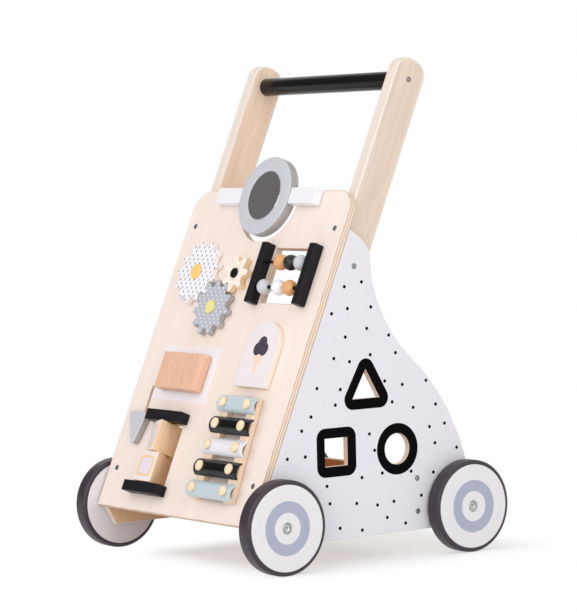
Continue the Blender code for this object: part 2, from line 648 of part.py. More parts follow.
def build_abacus():
    """Two posts with two rods between them over a window, and three beads on each rod."""
    half = ABACUS_SPACING / 2
    out = POST_DEPTH / 2
    middle = (POST_LOW + POST_HIGH) / 2
    posts = []
    for side, name in ((-1, "left_abacus_post"), (1, "right_abacus_post")):
        post = box_mesh(POST_WIDTH, POST_HIGH - POST_LOW, POST_DEPTH - GAP)
        place = (ABACUS_X + side * half, middle, (POST_DEPTH + GAP) / 2)
        posts.append(add_piece(name, post, BLACK, place, parent=FRONT))
    span = ABACUS_SPACING - POST_WIDTH
    rod_length = span + 2 * ROD_SEAT
    upper_colours = ("natural", "black", "grey")
    lower_colours = ("grey", "white", "natural")
    free = span - len(upper_colours) * BEAD_DIAMETER
    touch = 2 * GAP
    loose = free - 2 * touch
    upper_gaps = ((1 - UPPER_LAST_SHARE) * loose, touch, touch)
    lower_gaps = [share * free for share in LOWER_SHARES]
    rows = (
        ("upper", POST_HIGH - UPPER_ROD_MARGIN, upper_colours, upper_gaps),
        ("lower", POST_LOW + LOWER_ROD_MARGIN, lower_colours, lower_gaps),
    )
    looks = {"natural": PINE, "black": BLACK, "grey": GREY, "white": WHITE}
    bore_end = math.degrees(math.acos((ROD_DIAMETER / 2 + RUNNING) / (BEAD_DIAMETER / 2)))
    bead = arc((0, 0), BEAD_DIAMETER / 2, bore_end, -bore_end, MEDIUM)
    for row, up, colours, gaps in rows:
        place = (ABACUS_X, up, out)
        rod = cylinder_mesh(ROD_DIAMETER, rod_length)
        smooth(add_piece(f"{row}_abacus_rod", rod, STEEL, place, ACROSS, FRONT))
        for post in posts:
            seat = cylinder_mesh(ROD_DIAMETER + 2 * GAP, rod_length + 2 * GAP)
            shape_piece(post, seat, place, ACROSS, FRONT)
        x = ABACUS_X - (span + BEAD_DIAMETER) / 2
        for colour, gap in zip(colours, gaps):
            x += gap + BEAD_DIAMETER
            name = f"{row}_bead_{colour}"
            turned_piece(name, bead, looks[colour], (x, up, out), ACROSS, FRONT, MEDIUM, ring=True)


def flip_span():
    """Clear length between the two bars that carry the picture blocks."""
    return 2 * FLIP_HEIGHT + 3 * RUNNING


def build_flip_blocks():
    """Two three-sided picture blocks that turn on one rod between two black bars, through a window."""
    corners = triangle_corners(FLIP_SIDE)
    bars = (
        ("lower_flip_bar", FLIP_LOW - FLIP_BAR_HEIGHT / 2),
        ("upper_flip_bar", FLIP_LOW + flip_span() + FLIP_BAR_HEIGHT / 2),
    )
    middle = FLIP_LOW + flip_span() / 2
    rod_length = flip_span() + 2 * (FLIP_BAR_HEIGHT - FLIP_ROD_COVER)
    rod_place = (FLIP_X, middle, FLIP_AXIS)
    for name, up in bars:
        bar = box_mesh(FLIP_BAR_LENGTH, FLIP_BAR_HEIGHT, FLIP_BAR_DEPTH - GAP)
        piece = add_piece(name, bar, BLACK, (FLIP_X, up, (FLIP_BAR_DEPTH + GAP) / 2), parent=FRONT)
        seat = cylinder_mesh(FLIP_ROD + 2 * GAP, rod_length + 2 * GAP)
        shape_piece(piece, seat, rod_place, UPWARD, FRONT)
    rod = cylinder_mesh(FLIP_ROD, rod_length)
    smooth(add_piece("flip_rod", rod, STEEL, rod_place, UPWARD, FRONT))
    blocks = (
        ("lower_flip_block", FLIP_LOW + RUNNING + FLIP_HEIGHT / 2, 0.0),
        ("upper_flip_block", FLIP_LOW + 2 * RUNNING + 1.5 * FLIP_HEIGHT, FLIP_TURN),
    )
    for name, up, turned in blocks:
        pose = add_frame(f"{name}_frame", (FLIP_X, up, FLIP_AXIS), (0, turned, 0), FRONT)
        block = outline_mesh(rounded(corners, FLIP_ROUND), FLIP_HEIGHT)
        piece = add_piece(name, block, PINE, turn=UPWARD, parent=pose)
        bore = cylinder_mesh(FLIP_ROD + 2 * RUNNING, 2 * FLIP_HEIGHT)
        shape_piece(piece, bore, turn=UPWARD, parent=pose)


def build_slider():
    """Rounded triangle on a pin that slides in the slot, held by a foot behind the board."""
    back = RUNNING
    corners = [
        (SLIDER_TIP_OFFSET, -SLIDER_BELOW), (SLIDER_RIGHT, SLIDER_ABOVE), (-SLIDER_LEFT, SLIDER_ABOVE),
    ]
    place = (SLOT_X, SLIDER_UP, 0)
    middle = (SLOT_X, SLIDER_UP, back + SLIDER_THICK / 2)
    triangle = outline_mesh(rounded(corners, SLIDER_ROUND), SLIDER_THICK)
    piece = add_piece("slider_triangle", triangle, GREY, middle, parent=FRONT)
    shank = SLOT_WIDTH / 2 - GAP
    seat_depth = SLIDER_THICK - SLIDER_PIN_COVER
    seat_top = back + seat_depth
    foot_top = -BOARD_THICK - RUNNING
    foot_low = foot_top - SLIDER_FOOT_THICK
    profile = [
        (0, seat_top - GAP), (shank, seat_top - GAP), (shank, foot_top), (SLIDER_FOOT / 2, foot_top),
        (SLIDER_FOOT / 2, foot_low), (0, foot_low),
    ]
    turned_piece("slider_pin", profile, STEEL, place, parent=FRONT, facets=COARSE)
    seat = cylinder_mesh(2 * (shank + GAP), 2 * seat_depth)
    shape_piece(piece, seat, (SLOT_X, SLIDER_UP, back), parent=FRONT)


def build_plates():
    """Beech block and arched picture plate, both glued to the front board."""
    block = box_mesh(BLOCK_WIDTH, BLOCK_HEIGHT, BLOCK_DEPTH - GAP)
    place = (SLOT_X + BLOCK_FROM_SLOT, BLOCK_UP, (BLOCK_DEPTH + GAP) / 2)
    round_edges(add_piece("beech_block", block, BEECH_RED, place, parent=FRONT), BLOCK_ROUND, 3)
    half = ARCH_WIDTH / 2
    outline = [(-half, 0), (half, 0)] + arc((0, ARCH_STRAIGHT), half, 0, 180)
    arch_place = (ARCH_X, ARCH_LOW, (ARCH_THICK + GAP) / 2)
    add_piece("arch_plate", outline_mesh(outline, ARCH_THICK - GAP), BIRCH, arch_place, parent=FRONT)


def xylophone_bars():
    """Number, place up the board and length of each bar, the longest lowest."""
    step = (LONG_BAR - SHORT_BAR) / (XYLO_BARS - 1)
    return [(i + 1, XYLO_LOW + i * XYLO_PITCH, LONG_BAR - i * step) for i in range(XYLO_BARS)]


def build_xylophone():
    """Arched metal bars on two converging rails; each bar hangs loosely on two headed pegs."""
    bars = xylophone_bars()
    low, high = bars[0], bars[-1]
    rise = high[1] - low[1]
    lean = math.atan2((low[2] - high[2]) / 2, rise)
    length = (rise + 2 * RAIL_PAST_BAR) / math.cos(lean)
    crest = RAIL_HEIGHT + GAP + BAR_RISE
    peg_x = {number: bar / 2 - PEG_INSET for number, _, bar in bars}
    for side, name in ((-1, "left_xylophone_rail"), (1, "right_xylophone_rail")):
        x = XYLO_X + side * ((peg_x[low[0]] + peg_x[high[0]]) / 2 + RAIL_OUT)
        place = (x, (low[1] + high[1]) / 2, (RAIL_HEIGHT + GAP) / 2)
        rail_mesh = box_mesh(RAIL_WIDTH, length, RAIL_HEIGHT - GAP)
        rail = add_piece(name, rail_mesh, PINE, place, (0, 0, side * lean), FRONT)
        for number, up, _ in bars:
            peg_place = (XYLO_X + side * peg_x[number], up, 0)
            shape_piece(rail, turned_mesh(peg_profile(crest)), peg_place, parent=FRONT, operation="UNION")
    looks = (BLUE, BLACK_METAL, WHITE_METAL, BLACK_METAL, BLUE)
    for number, up, bar in bars:
        place = (XYLO_X, up, RAIL_HEIGHT + GAP)
        mesh = outline_mesh(arched_section(), bar)
        piece = add_piece(f"xylophone_bar_{number}", mesh, looks[number - 1], place, SIDEWAYS, FRONT)
        for side in (-1, 1):
            hole = cylinder_mesh(PEG_DIAMETER + 2 * RUNNING, 3 * BAR_RISE)
            shape_piece(piece, hole, (XYLO_X + side * peg_x[number], up, crest), parent=FRONT)


def peg_profile(crest):
    """Domed peg, from the top of its head down into the rail; its head holds a bar down."""
    head = PEG_HEAD / 2
    shank = PEG_DIAMETER / 2
    dome = PEG_HEAD_THICK - PEG_HEAD_EDGE
    edge = crest + PEG_HEAD_EDGE
    foot = RAIL_HEIGHT / 2
    top = [(head * out, edge + dome * up) for out, up in arc((0, 0), 1, 90, 0, COARSE)]
    return top + [(head, crest + GAP), (shank, crest + GAP), (shank, foot), (0, foot)]


def turned_mesh(profile, facets=COARSE):
    """Mesh of a profile turned about Z, for a shape that is joined to a piece."""
    shape = bmesh.new()
    knots = [shape.verts.new((radius, 0.0, height)) for radius, height in profile]
    links = [shape.edges.new(pair) for pair in zip(knots, knots[1:])]
    bmesh.ops.spin(
        shape, geom=knots + links, axis=(0, 0, 1), cent=(0, 0, 0), angle=2 * math.pi, steps=facets,
        use_merge=True,
    )
    bmesh.ops.remove_doubles(shape, verts=shape.verts, dist=1e-6)
    bmesh.ops.recalc_face_normals(shape, faces=shape.faces)
    return mesh_from(shape)


def arched_section():
    """Section of an arched sheet-metal bar, its edges on the rails and its crest above them."""
    half = BAR_WIDTH / 2
    radius = (half * half + BAR_RISE * BAR_RISE) / (2 * BAR_RISE)
    centre = (0, BAR_RISE - radius)
    sweep = math.degrees(math.asin(half / radius))
    inner = radius - BAR_SHEET
    reach = math.degrees(math.acos(min(1.0, (radius - BAR_RISE) / inner)))
    outside = arc(centre, radius, 90 - sweep, 90 + sweep, MEDIUM)
    inside = arc(centre, inner, 90 + reach, 90 - reach, MEDIUM)
    return outside + inside


for old in list(bpy.data.objects):
    bpy.data.objects.remove(old)

PARTS = start_collection("toy_hand_cart")
TOOLS = start_collection("tools")

BIRCH = finish("birch_plywood", "#f5e5dc", 0.55)
BEECH = finish("beech", "#e8d0b8", 0.5)
BEECH_RED = finish("steamed_beech", "#efbfa3", 0.5)
PINE = finish("natural_wood", "#eab27a", 0.5)
DOTTED_WHITE = finish("white_printed_plywood", "#e4e1e8", 0.5)
WHITE = finish("white_paint", "#e6e5e5", 0.45)
GREY = finish("grey_paint", "#c6c8d0", 0.45)
BLACK = finish("black_paint", "#17141b", 0.4)
ORANGE = finish("orange_paint", "#fcc75a", 0.45)
YELLOW = finish("pale_yellow_paint", "#efe39a", 0.45)
RUBBER = finish("black_rubber", "#3b343c", 0.75)
STEEL = finish("steel", "#8c8c90", 0.3, 1.0)
MIRROR = finish("mirror", "#d8dadc", 0.03, 1.0)
BLUE = finish("light_blue_metal", "#c6d6de", 0.35)
BLACK_METAL = finish("black_metal", "#1b181d", 0.3)
WHITE_METAL = finish("white_metal", "#e9e8f3", 0.35)

FRONT = add_frame("front_frame", (0, -BOARD_FOOT, 0), (math.pi / 2 - TILT, 0, 0))

build_front_board()
build_side_boards()
build_uprights()
build_bin()
for end, end_y in (("front", -AXLE_Y), ("rear", AXLE_Y)):
    build_wheel(f"{end}_left", -1, end_y)
    build_wheel(f"{end}_right", 1, end_y)
build_mirror()
build_gears()
build_abacus()
build_flip_blocks()
build_slider()
build_plates()
build_xylophone()
bpy.context.view_layer.update()
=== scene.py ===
"""Looks of a push-along toy hand cart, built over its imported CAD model.

The file is laid out as an add-on and run as a script. Each piece is built in a frame of its own, in
metres, keeps its own coordinates in millimetres as the attribute "grain" for its material, and is then
set in place.
"""
import json
import math
import random

import bmesh
import bpy
from bpy.props import FloatProperty, FloatVectorProperty, PointerProperty
from bpy.types import Node, NodeSocket, Operator, Panel, PropertyGroup
from mathutils import Matrix, Vector
from mathutils.geometry import delaunay_2d_cdt, intersect_point_line

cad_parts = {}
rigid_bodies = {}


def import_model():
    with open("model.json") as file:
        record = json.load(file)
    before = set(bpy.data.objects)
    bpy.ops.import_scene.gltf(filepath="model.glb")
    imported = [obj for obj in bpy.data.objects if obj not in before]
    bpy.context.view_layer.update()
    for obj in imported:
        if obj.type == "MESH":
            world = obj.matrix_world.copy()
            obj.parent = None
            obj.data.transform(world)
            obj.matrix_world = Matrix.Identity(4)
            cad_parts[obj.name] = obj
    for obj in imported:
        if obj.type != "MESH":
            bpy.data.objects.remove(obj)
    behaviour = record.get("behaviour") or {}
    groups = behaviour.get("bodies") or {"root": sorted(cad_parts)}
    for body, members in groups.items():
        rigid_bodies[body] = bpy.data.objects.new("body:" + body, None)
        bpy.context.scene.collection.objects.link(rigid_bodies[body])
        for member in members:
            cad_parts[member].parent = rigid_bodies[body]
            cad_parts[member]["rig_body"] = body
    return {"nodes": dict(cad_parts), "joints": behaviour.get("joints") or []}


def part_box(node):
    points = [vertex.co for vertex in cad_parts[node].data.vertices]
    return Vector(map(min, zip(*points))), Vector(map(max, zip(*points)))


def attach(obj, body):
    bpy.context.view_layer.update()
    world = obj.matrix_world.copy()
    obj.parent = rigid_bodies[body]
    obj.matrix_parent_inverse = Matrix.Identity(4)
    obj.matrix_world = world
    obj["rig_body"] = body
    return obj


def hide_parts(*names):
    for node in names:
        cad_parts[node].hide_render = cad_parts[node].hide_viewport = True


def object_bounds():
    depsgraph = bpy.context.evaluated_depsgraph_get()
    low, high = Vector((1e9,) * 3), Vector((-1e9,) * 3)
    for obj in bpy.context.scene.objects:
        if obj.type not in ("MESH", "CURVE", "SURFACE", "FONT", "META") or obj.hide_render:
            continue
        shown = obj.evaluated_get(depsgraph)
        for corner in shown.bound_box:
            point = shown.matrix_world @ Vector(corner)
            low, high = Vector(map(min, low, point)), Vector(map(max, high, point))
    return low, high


bl_info = {
    "name": "Toy hand cart",
    "version": (1, 0, 0),
    "blender": (4, 5, 0),
    "location": "3D View > Sidebar > Cart",
    "description": "Builds the pieces, finishes and stage of a wooden toy hand cart",
    "category": "Object",
}

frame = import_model()
CAD_BOX = [list(corner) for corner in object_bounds()]
NODES = frame["nodes"]
JOINTS = {joint["name"]: joint for joint in frame["joints"]}

MM = 0.001
WELD = 1e-6                    # points this close are one
FLAT = 10 * WELD               # points this close in height lie on one face
SHARP = math.radians(35)       # a sharper edge is shaded as a crease
STRAIGHT = math.radians(0.3)   # a point of an outline that bends less is left out
SOFT_BEND = math.radians(50)   # a sharper bend in an outline is a corner, not part of a curve
RIM_STEPS = 4                  # facets round a rounded rim
CORNER_STEPS = 6               # facets round an outline's corner
ROUND = 64                     # facets round a disc or ball
FINE_ROUND = 96                # facets round a tyre or the mirror
SMALL_ROUND = 32               # facets round a pin or screw
SEAT_GAP = 0.3 * MM            # between pieces that touch
TYRE_GAP = 0.05 * MM           # from the line where disc and tyre meet to each of them
PLY = 1.6                      # thickness of a ply in millimetres
PRINT_GLOSS = 0.4              # specular level of prints and sawn edges
TURN_SEED, DOT_SEED = 4, 7     # for the turns of screws and pegs, and for the printed dots
X, Y, Z = Vector((1, 0, 0)), Vector((0, 1, 0)), Vector((0, 0, 1))
SIDES = ((-1, "left"), (1, "right"))
FACE, EDGE, BACK, PRINT, SECOND_PRINT = range(5)   # material numbers of a plate


def linear(hex_colour):
    """Linear RGB of an sRGB hex colour."""
    channels = [int(hex_colour[i:i + 2], 16) / 255 for i in (1, 3, 5)]
    return [c / 12.92 if c <= 0.04045 else ((c + 0.055) / 1.055) ** 2.4 for c in channels]


def tint(name, description, hex_colour):
    """Colour property with an sRGB hex default."""
    return FloatVectorProperty(
        name=name, description=description, subtype="COLOR", size=3, min=0, max=1,
        default=linear(hex_colour),
    )


def length(name, description, millimetres):
    """Length property with a default in millimetres."""
    return FloatProperty(
        name=name, description=description, subtype="DISTANCE", unit="LENGTH", default=millimetres * MM
    )


class CartSizes(PropertyGroup):
    """Sizes that the CAD model doesn't carry."""
    board_rim: length("Board rim", "Rounding of the boards' edges", 0.7)
    upright_rim: length("Upright rim", "Rounding of the uprights' edges", 1.6)
    upright_corner: length("Upright corner", "Radius of an upright's top corners", 16.4)
    upright_drop: length("Upright drop", "Upright's top below its CAD outline", 1.6)
    piece_rim: length("Piece rim", "Rounding of gears, plates, posts and bars", 0.6)
    soft_rim: length("Soft rim", "Rounding of the mirror, its mounts and the slider", 1.2)
    block_rim: length("Block rim", "Rounding of the glued-on block", 2.0)
    border: length("Border", "Width of the black border round a sorting hole", 10.9)
    dot: length("Dot", "Diameter of a printed dot on the side boards", 3.9)
    dot_spacing: length("Dot spacing", "Rough distance between those dots", 29.0)
    dash: length("Dash", "Length of a mark printed on the white gear", 3.2)
    gear_dot: length("Gear dot", "Diameter of a dot printed on the grey gear", 2.0)
    field_left: length("Field left", "Printed field beyond the glued-on block, on its left", 16.0)
    field_right: length("Field right", "Printed field beyond the glued-on block, on its right", 12.9)
    field_ends: length("Field ends", "Printed field beyond the glued-on block, above and below", 10.0)
    ring_inner: length("Ring inner radius", "Inner radius of the ring printed on a wheel", 16.4)
    ring_outer: length("Ring outer radius", "Outer radius of the ring printed on a wheel", 28.4)
    recess: length("Axle recess", "Diameter of the recess for an axle screw", 12.6)
    axle_head: length("Axle head", "Diameter of an axle screw's head", 9.4)
    screw: length("Screw", "Diameter of a countersunk screw head", 6.2)
    peg_inset: length("Peg inset", "Xylophone bar's end to its peg", 11.85)
    block_inset: length("Block inset", "Turning block's faces inside its CAD faces", 1.5)
    bar_rise: length("Bar rise", "Height of a xylophone bar's arch", 5.6)
    bar_drop: length("Bar drop", "Top of a bar below its CAD crest", 1.3)
    rail_inset: length("Rail inset", "Rail's outer wall inside the bars' ends", 3.0)
    peg_head: length("Peg head", "Diameter of a xylophone peg's head", 11.5)


class CartColours(PropertyGroup):
    """Colours of the finishes."""
    birch: tint("Birch", "Face of the sloping board", "#f7e8e0")
    inside: tint("Inside", "Inner faces of the side boards", "#efcda6")
    # birch's own warm tone, made darker and more orange than the side boards' insides as painted shade and
    # warm bounce light inside the bin
    bin: tint("Bin birch", "Floor and rear board of the bin", "#d9a06c")
    # painted light: lighter and warmer than the right upright's beech, for the warm bounce light on the
    # shaded inner face
    left_upright: tint("Left upright", "Wood of the left upright", "#f6dec8")
    right_upright: tint("Right upright", "Wood of the right upright", "#e4d2c2")
    upright_edge: tint("Upright edge", "Narrow edges of the uprights", "#efe1d6")
    edge: tint("Plywood edge", "Pale plies on a cut edge", "#f1dfd0")
    edge_dark: tint("Plywood edge, dark", "Dark plies on a cut edge", "#d3b498")
    print_white: tint("Printed white", "White print on the side boards", "#e6e3ea")
    ink: tint("Ink", "Borders, dots, handle, black bead and bars", "#080609")
    white: tint("White lacquer", "Wheels", "#e7e4e7")
    mount: tint("Mount white", "Mirror mounts and white bead", "#f2f1f6")
    gear_white: tint("White gear", "Face of the white gear", "#f4f2f7")
    gear_wall: tint("White gear's wall", "Cut edge of the white gear", "#f6f0ec")
    slate: tint("Slate ink", "Marks on the white gear", "#474a58")
    grey: tint("Grey lacquer", "Mirror ring, grey bead and slider", "#cbccd2")
    gear_grey: tint("Grey gear", "Face of the grey gear", "#bcbec8")
    # painted shade: a darker, warmer copy of the grey lacquer, on walls that turn away from the light
    grey_wall: tint("Grey wall", "Edges of the grey gear, slider and mirror ring", "#b2aeae")
    gear_natural: tint("Natural gear", "Face of the natural gear", "#fdf1e6")
    natural_wall: tint("Natural gear's wall", "Cut edge of the natural gear", "#f8deb4")
    ring: tint("Ring", "Ring printed on the wheels", "#aaaec1")
    black: tint("Black stain", "Posts and bars on the board", "#13101a")
    orange: tint("Orange lacquer", "Head of the white gear's pin", "#ffd07c")
    yellow: tint("Yellow lacquer", "Head of the grey gear's pin", "#f0e69c")
    steamed: tint("Steamed beech", "Glued-on block", "#efc2a7")
    natural: tint("Natural wood", "Natural beads", "#e9b075")
    turning: tint("Turning blocks", "Wood of the turning blocks", "#fedfb9")
    picture: tint("Picture ground", "Printed face of a turning block", "#efe3e0")
    picture_line: tint("Picture line", "Frame printed on a turning block", "#f2cda2")
    picture_panel: tint("Picture panel", "Panel printed inside that frame", "#e5dce6")
    field: tint("Field", "Printed field round the glued-on block", "#f5f0f5")
    arch_edge: tint("Arch edge", "Cut edge of the arched plate", "#f5e6d2")
    arch: tint("Arch", "Face of the arched plate", "#f0e6e7")
    scoop: tint("Scoop", "Dark print on the arched plate", "#43384a")
    cone: tint("Cone", "Pale print on the arched plate", "#f5dcc6")
    rail: tint("Rail", "Xylophone rails", "#f3dcc2")
    peg: tint("Peg wood", "Xylophone pegs", "#f8e4c2")
    rubber: tint("Rubber", "Tyres", "#342934")
    blue_bar: tint("Light blue enamel", "Top and bottom xylophone bars", "#c4d2d9")
    white_bar: tint("White enamel", "Middle xylophone bar", "#ece9ef")
    # painted shade: near black on the bars' hollow sides, where the shade under the arch falls
    bar_inside: tint("Bar inside", "Hollow side of the xylophone bars", "#171413")
    zinc: tint("Zinc", "Countersunk screws and hidden pins", "#a9acb1")
    nickel: tint("Nickel", "Axle screws", "#c6c6c4")
    silver: tint("Silvering", "Mirror", "#ddd6db")


def frame_of(origin, across, up):
    """Frame with its X across, its Y up and its Z out of the plane that they span."""
    turn = Matrix((across, up, across.cross(up))).transposed().to_4x4()
    return Matrix.Translation(origin) @ turn


def axis_frame(centre, axis):
    """Frame with its Z along an axis."""
    return Matrix.Translation(centre) @ axis.to_track_quat("Z", "Y").to_matrix().to_4x4()


def board_frame():
    """Frame of the sloping board: X across, Y up the slope from the ground, Z out of its face."""
    out = Vector(JOINTS["white_gear_spin"]["axis"]).normalized()
    face = max(vertex.co.dot(out) for vertex in NODES["front_board"].data.vertices)
    return frame_of(Vector((0, face / out.y, 0)), X, out.cross(X))


BOARD = board_frame()
UP_SLOPE = BOARD.to_3x3() @ Y
OUT_OF_BOARD = BOARD.to_3x3() @ Z


def side_frame(side):
    """Frame of a side board: X along it, Y up, Z outwards; side is 1 on the right and -1 on the left."""
    return frame_of(Vector((0, 0, 0)), Y * side, Z)


def upright_frame(side):
    """Frame of an upright: Y up its slope, Z outwards."""
    return frame_of(BOARD.translation, UP_SLOPE.cross(X * side), UP_SLOPE)


def extent(node, space):
    """Lowest and highest corner of a CAD node, measured in a frame."""
    seen = space.inverted()
    corners = [seen @ vertex.co for vertex in NODES[node].data.vertices]
    low = Vector([min(corner[i] for corner in corners) for i in range(3)])
    high = Vector([max(corner[i] for corner in corners) for i in range(3)])
    return low, high


def outlines(node, space):
    """Closed outlines of the outer face of a plate-like CAD node; its material lies left of each."""
    shape = bmesh.new()
    shape.from_mesh(NODES[node].data)
    shape.transform(space.inverted())
    bmesh.ops.remove_doubles(shape, verts=shape.verts, dist=WELD)
    shape.verts.index_update()
    top = max(vertex.co.z for vertex in shape.verts) - FLAT
    flat = {face for face in shape.faces if all(vertex.co.z > top for vertex in face.verts)}
    follow = {}
    for face in flat:
        for corner in face.loops:
            if all(near not in flat for near in corner.edge.link_faces if near is not face):
                follow[corner.vert] = corner.link_loop_next.vert
    loops = []
    while follow:
        start = min(follow, key=lambda vertex: vertex.index)
        loop = [start]
        while follow[loop[-1]] is not start:
            loop.append(follow[loop[-1]])
        for vertex in loop:
            del follow[vertex]
        loops.append(bends_only([vertex.co.xy.copy() for vertex in loop]))
    shape.free()
    return loops


def corners_of(loop):
    """Each point of a closed outline, between the one before it and the one after it."""
    return zip(loop[-1:] + loop[:-1], loop, loop[1:] + loop[:1])


def bends_only(loop):
    """Outline without the points that lie on a straight run."""
    return [b for a, b, c in corners_of(loop) if (b - a).angle(c - b) > STRAIGHT]


def refined(loop):
    """Outline with a point added on each facet of its curves, so that they look round up close.

    A facet is part of a curve where its ends bend softly and its neighbours are of like length; the new
    point stands off it by the four-point rule."""
    points, least_share, four_point = [], 1 / 3, 16
    count = len(loop)
    for i in range(count):
        a, b, c, d = (loop[(i + k) % count] for k in (-1, 0, 1, 2))
        points.append(b)
        run = (c - b).length
        bend = max((b - a).angle(c - b), (c - b).angle(d - c))
        before, after = min((b - a).length, run), min((d - c).length, run)
        if bend < SOFT_BEND and min(before, after) > least_share * run:
            a = b + (a - b).normalized() * before
            d = c + (d - c).normalized() * after
            points.append((b + c) / 2 + (b + c - a - d) / four_point)
    return points


def rounded(corners, radius):
    """Outline of a polygon with its corners rounded."""
    points = []
    for a, b, c in corners_of([Vector(corner) for corner in corners]):
        first, second = (a - b).normalized(), (c - b).normalized()
        half = first.angle(second) / 2
        centre = b + (first + second).normalized() * (radius / math.sin(half))
        start = b + first * (radius / math.tan(half)) - centre
        sweep = math.copysign(math.pi - 2 * half, first.cross(second) * -1)
        for i in range(CORNER_STEPS + 1):
            points.append(centre + Matrix.Rotation(sweep * i / CORNER_STEPS, 2) @ start)
    return points


def rectangle(low, high, radius):
    """Rounded rectangle between two corners."""
    corners = [(low[0], low[1]), (high[0], low[1]), (high[0], high[1]), (low[0], high[1])]
    return rounded(corners, radius)


def circle(centre, radius, facets=SMALL_ROUND):
    """Round outline."""
    turns = [2 * math.pi * i / facets for i in range(facets)]
    return [Vector((centre[0] + radius * math.cos(a), centre[1] + radius * math.sin(a))) for a in turns]


def grown(loop, width):
    """Outline at a fixed distance round a hole, with round corners."""
    points = []
    for a, b, c in corners_of(loop):
        first, second = (b - a).normalized(), (c - b).normalized()
        away = Vector((-first.y, first.x)) * width
        sweep = -first.angle(second)
        count = max(1, round(CORNER_STEPS * abs(sweep)))
        points += [b + Matrix.Rotation(sweep * i / count, 2) @ away for i in range(count + 1)]
    return points


def inside(point, loops):
    """Whether a point lies within an odd number of outlines."""
    odd = False
    for loop in loops:
        for _, a, b in corners_of(loop):
            if (a.y > point.y) != (b.y > point.y):
                odd ^= point.x < a.x + (point.y - a.y) / (b.y - a.y) * (b.x - a.x)
    return odd


def gap_to(place, loop):
    """Distance from a point to an outline."""
    gaps = []
    for _, a, b in corners_of(loop):
        near, share = intersect_point_line(place, a, b)
        gaps.append((place - (a if share < 0 else b if share > 1 else near)).length)
    return min(gaps)


def steps_inward(loop):
    """Step at each point of an outline that moves both its edges into the material by one."""
    steps = []
    for a, b, c in corners_of(loop):
        first, second = (b - a).normalized(), (c - b).normalized()
        left = Vector((-first.y, first.x))
        right = Vector((-second.y, second.x))
        steps.append((left + right) / (1 + left.dot(right)))
    return steps


def rim_section(low, high, rim):
    """Inset and level of each ring round a plate's edge, from its outer face to its inner one."""
    lip = 0.3 * rim   # flat strip on both sides of the rounding, which keeps its shading crisp
    outer = [(rim + lip, high)]
    for i in range(RIM_STEPS + 1):
        angle = math.pi / 2 * i / RIM_STEPS
        outer.append((rim * (1 - math.sin(angle)), high - rim * (1 - math.cos(angle))))
    outer.append((0.0, high - rim - lip))
    return outer + [(inset, low + high - level) for inset, level in reversed(outer)]


def fill(shape, rings, regions, level, outer):
    """Close one face of a plate; printed regions of the outer face get materials of their own."""
    flat = [vertex.co.xy for ring in rings for vertex in ring]
    marks = [point for _, outline in regions for point in outline]
    starts = []
    for loop in [*rings, *(outline for _, outline in regions)]:
        starts.append((sum(size for _, size in starts), len(loop)))
    edges = [(first + i, first + (i + 1) % size) for first, size in starts for i in range(size)]
    within_edges, tolerance = 1, WELD / 10
    found = delaunay_2d_cdt(flat + marks, edges, [], within_edges, tolerance)
    places, _, faces, sources, _, _ = found
    known = [vertex for ring in rings for vertex in ring]
    corners = []
    for place, source in zip(places, sources):
        own = [i for i in source if i < len(known)]
        corners.append(known[own[0]] if own else shape.verts.new((*place, level)))
    edge_loops = [[vertex.co.xy for vertex in ring] for ring in rings]
    for face in faces:
        centre = sum((places[i] for i in face), Vector((0, 0))) / len(face)
        if not inside(centre, edge_loops):
            continue
        made = shape.faces.new([corners[i] for i in (face if outer else reversed(face))])
        made.material_index = FACE if outer else BACK
        for index, outline in regions:
            if inside(centre, [outline]):
                made.material_index = index


def plate(loops, low, high, rim, space, regions=(), wraps=None, cross_grain=False):
    """Closed plate with rounded rims, with materials of its own on its outer face, edges and inner face.

    wraps gives the material of each outline's outer rim, where a print or paint runs over it."""
    shape = bmesh.new()
    section = rim_section(low, high, rim)
    tops, bottoms = [], []
    for loop, wrap in zip(loops, wraps or [EDGE] * len(loops)):
        steps = steps_inward(loop)
        rings = []
        for inset, level in section:
            spots = [point + inset * step for point, step in zip(loop, steps)]
            rings.append([shape.verts.new((*spot, level)) for spot in spots])
        over = RIM_STEPS + 1
        band(shape, rings, [wrap] * over + [EDGE] * (len(rings) - over))
        tops.append(rings[0])
        bottoms.append(rings[-1])
    fill(shape, tops, list(regions), high, True)
    fill(shape, bottoms, [], low, False)
    return settle(shape, space, cross_grain)


def band(shape, rings, materials, closed=False):
    """Faces between rings of points that run from a shape's top down its outside."""
    pairs = list(zip(rings, rings[1:]))
    if closed:
        pairs.append((rings[-1], rings[0]))
    for (upper, lower), material in zip(pairs, materials):
        count = max(len(upper), len(lower))
        for i in range(count):
            j = (i + 1) % count
            corners = [lower[i], lower[j]] if len(lower) > 1 else [lower[0]]
            corners += [upper[j], upper[i]] if len(upper) > 1 else [upper[0]]
            shape.faces.new(corners).material_index = material


def turned(profile, space, facets=ROUND, ring=False):
    """Shape turned about its own Z from (radius, height) points, from its top down its outside.

    A third value is the material of the face above a point, which is otherwise 0."""
    shape = bmesh.new()
    rings, materials = [], []
    for radius, height, *material in profile:
        count = facets if radius > WELD else 1
        spots = circle((0, 0), radius, facets)[:count]
        rings.append([shape.verts.new((*spot, height)) for spot in spots])
        materials += material or [0]
    band(shape, rings, materials[1:] + materials[:1], ring)
    return settle(shape, space)


def arc_points(radius, height, rim, start, end, material=0, steps=5):
    """Rounding of a turned profile about (radius, height), from one angle in degrees to another."""
    angles = [math.radians(start + (end - start) * i / steps) for i in range(steps + 1)]
    return [(radius + rim * math.cos(a), height + rim * math.sin(a), material) for a in angles]


def shoulders(radius, high, low, rim, lower=0):
    """Rounded outside of a turned profile between two heights; lower is its lower half's material."""
    upper = arc_points(radius - rim, high - rim, rim, 90, 0)
    return upper + arc_points(radius - rim, low + rim, rim, 0, -90, lower)


def mesh_of(shape):
    """Mesh of a shape, which is let go."""
    mesh = bpy.data.meshes.new("shape")
    shape.to_mesh(mesh)
    shape.free()
    return mesh


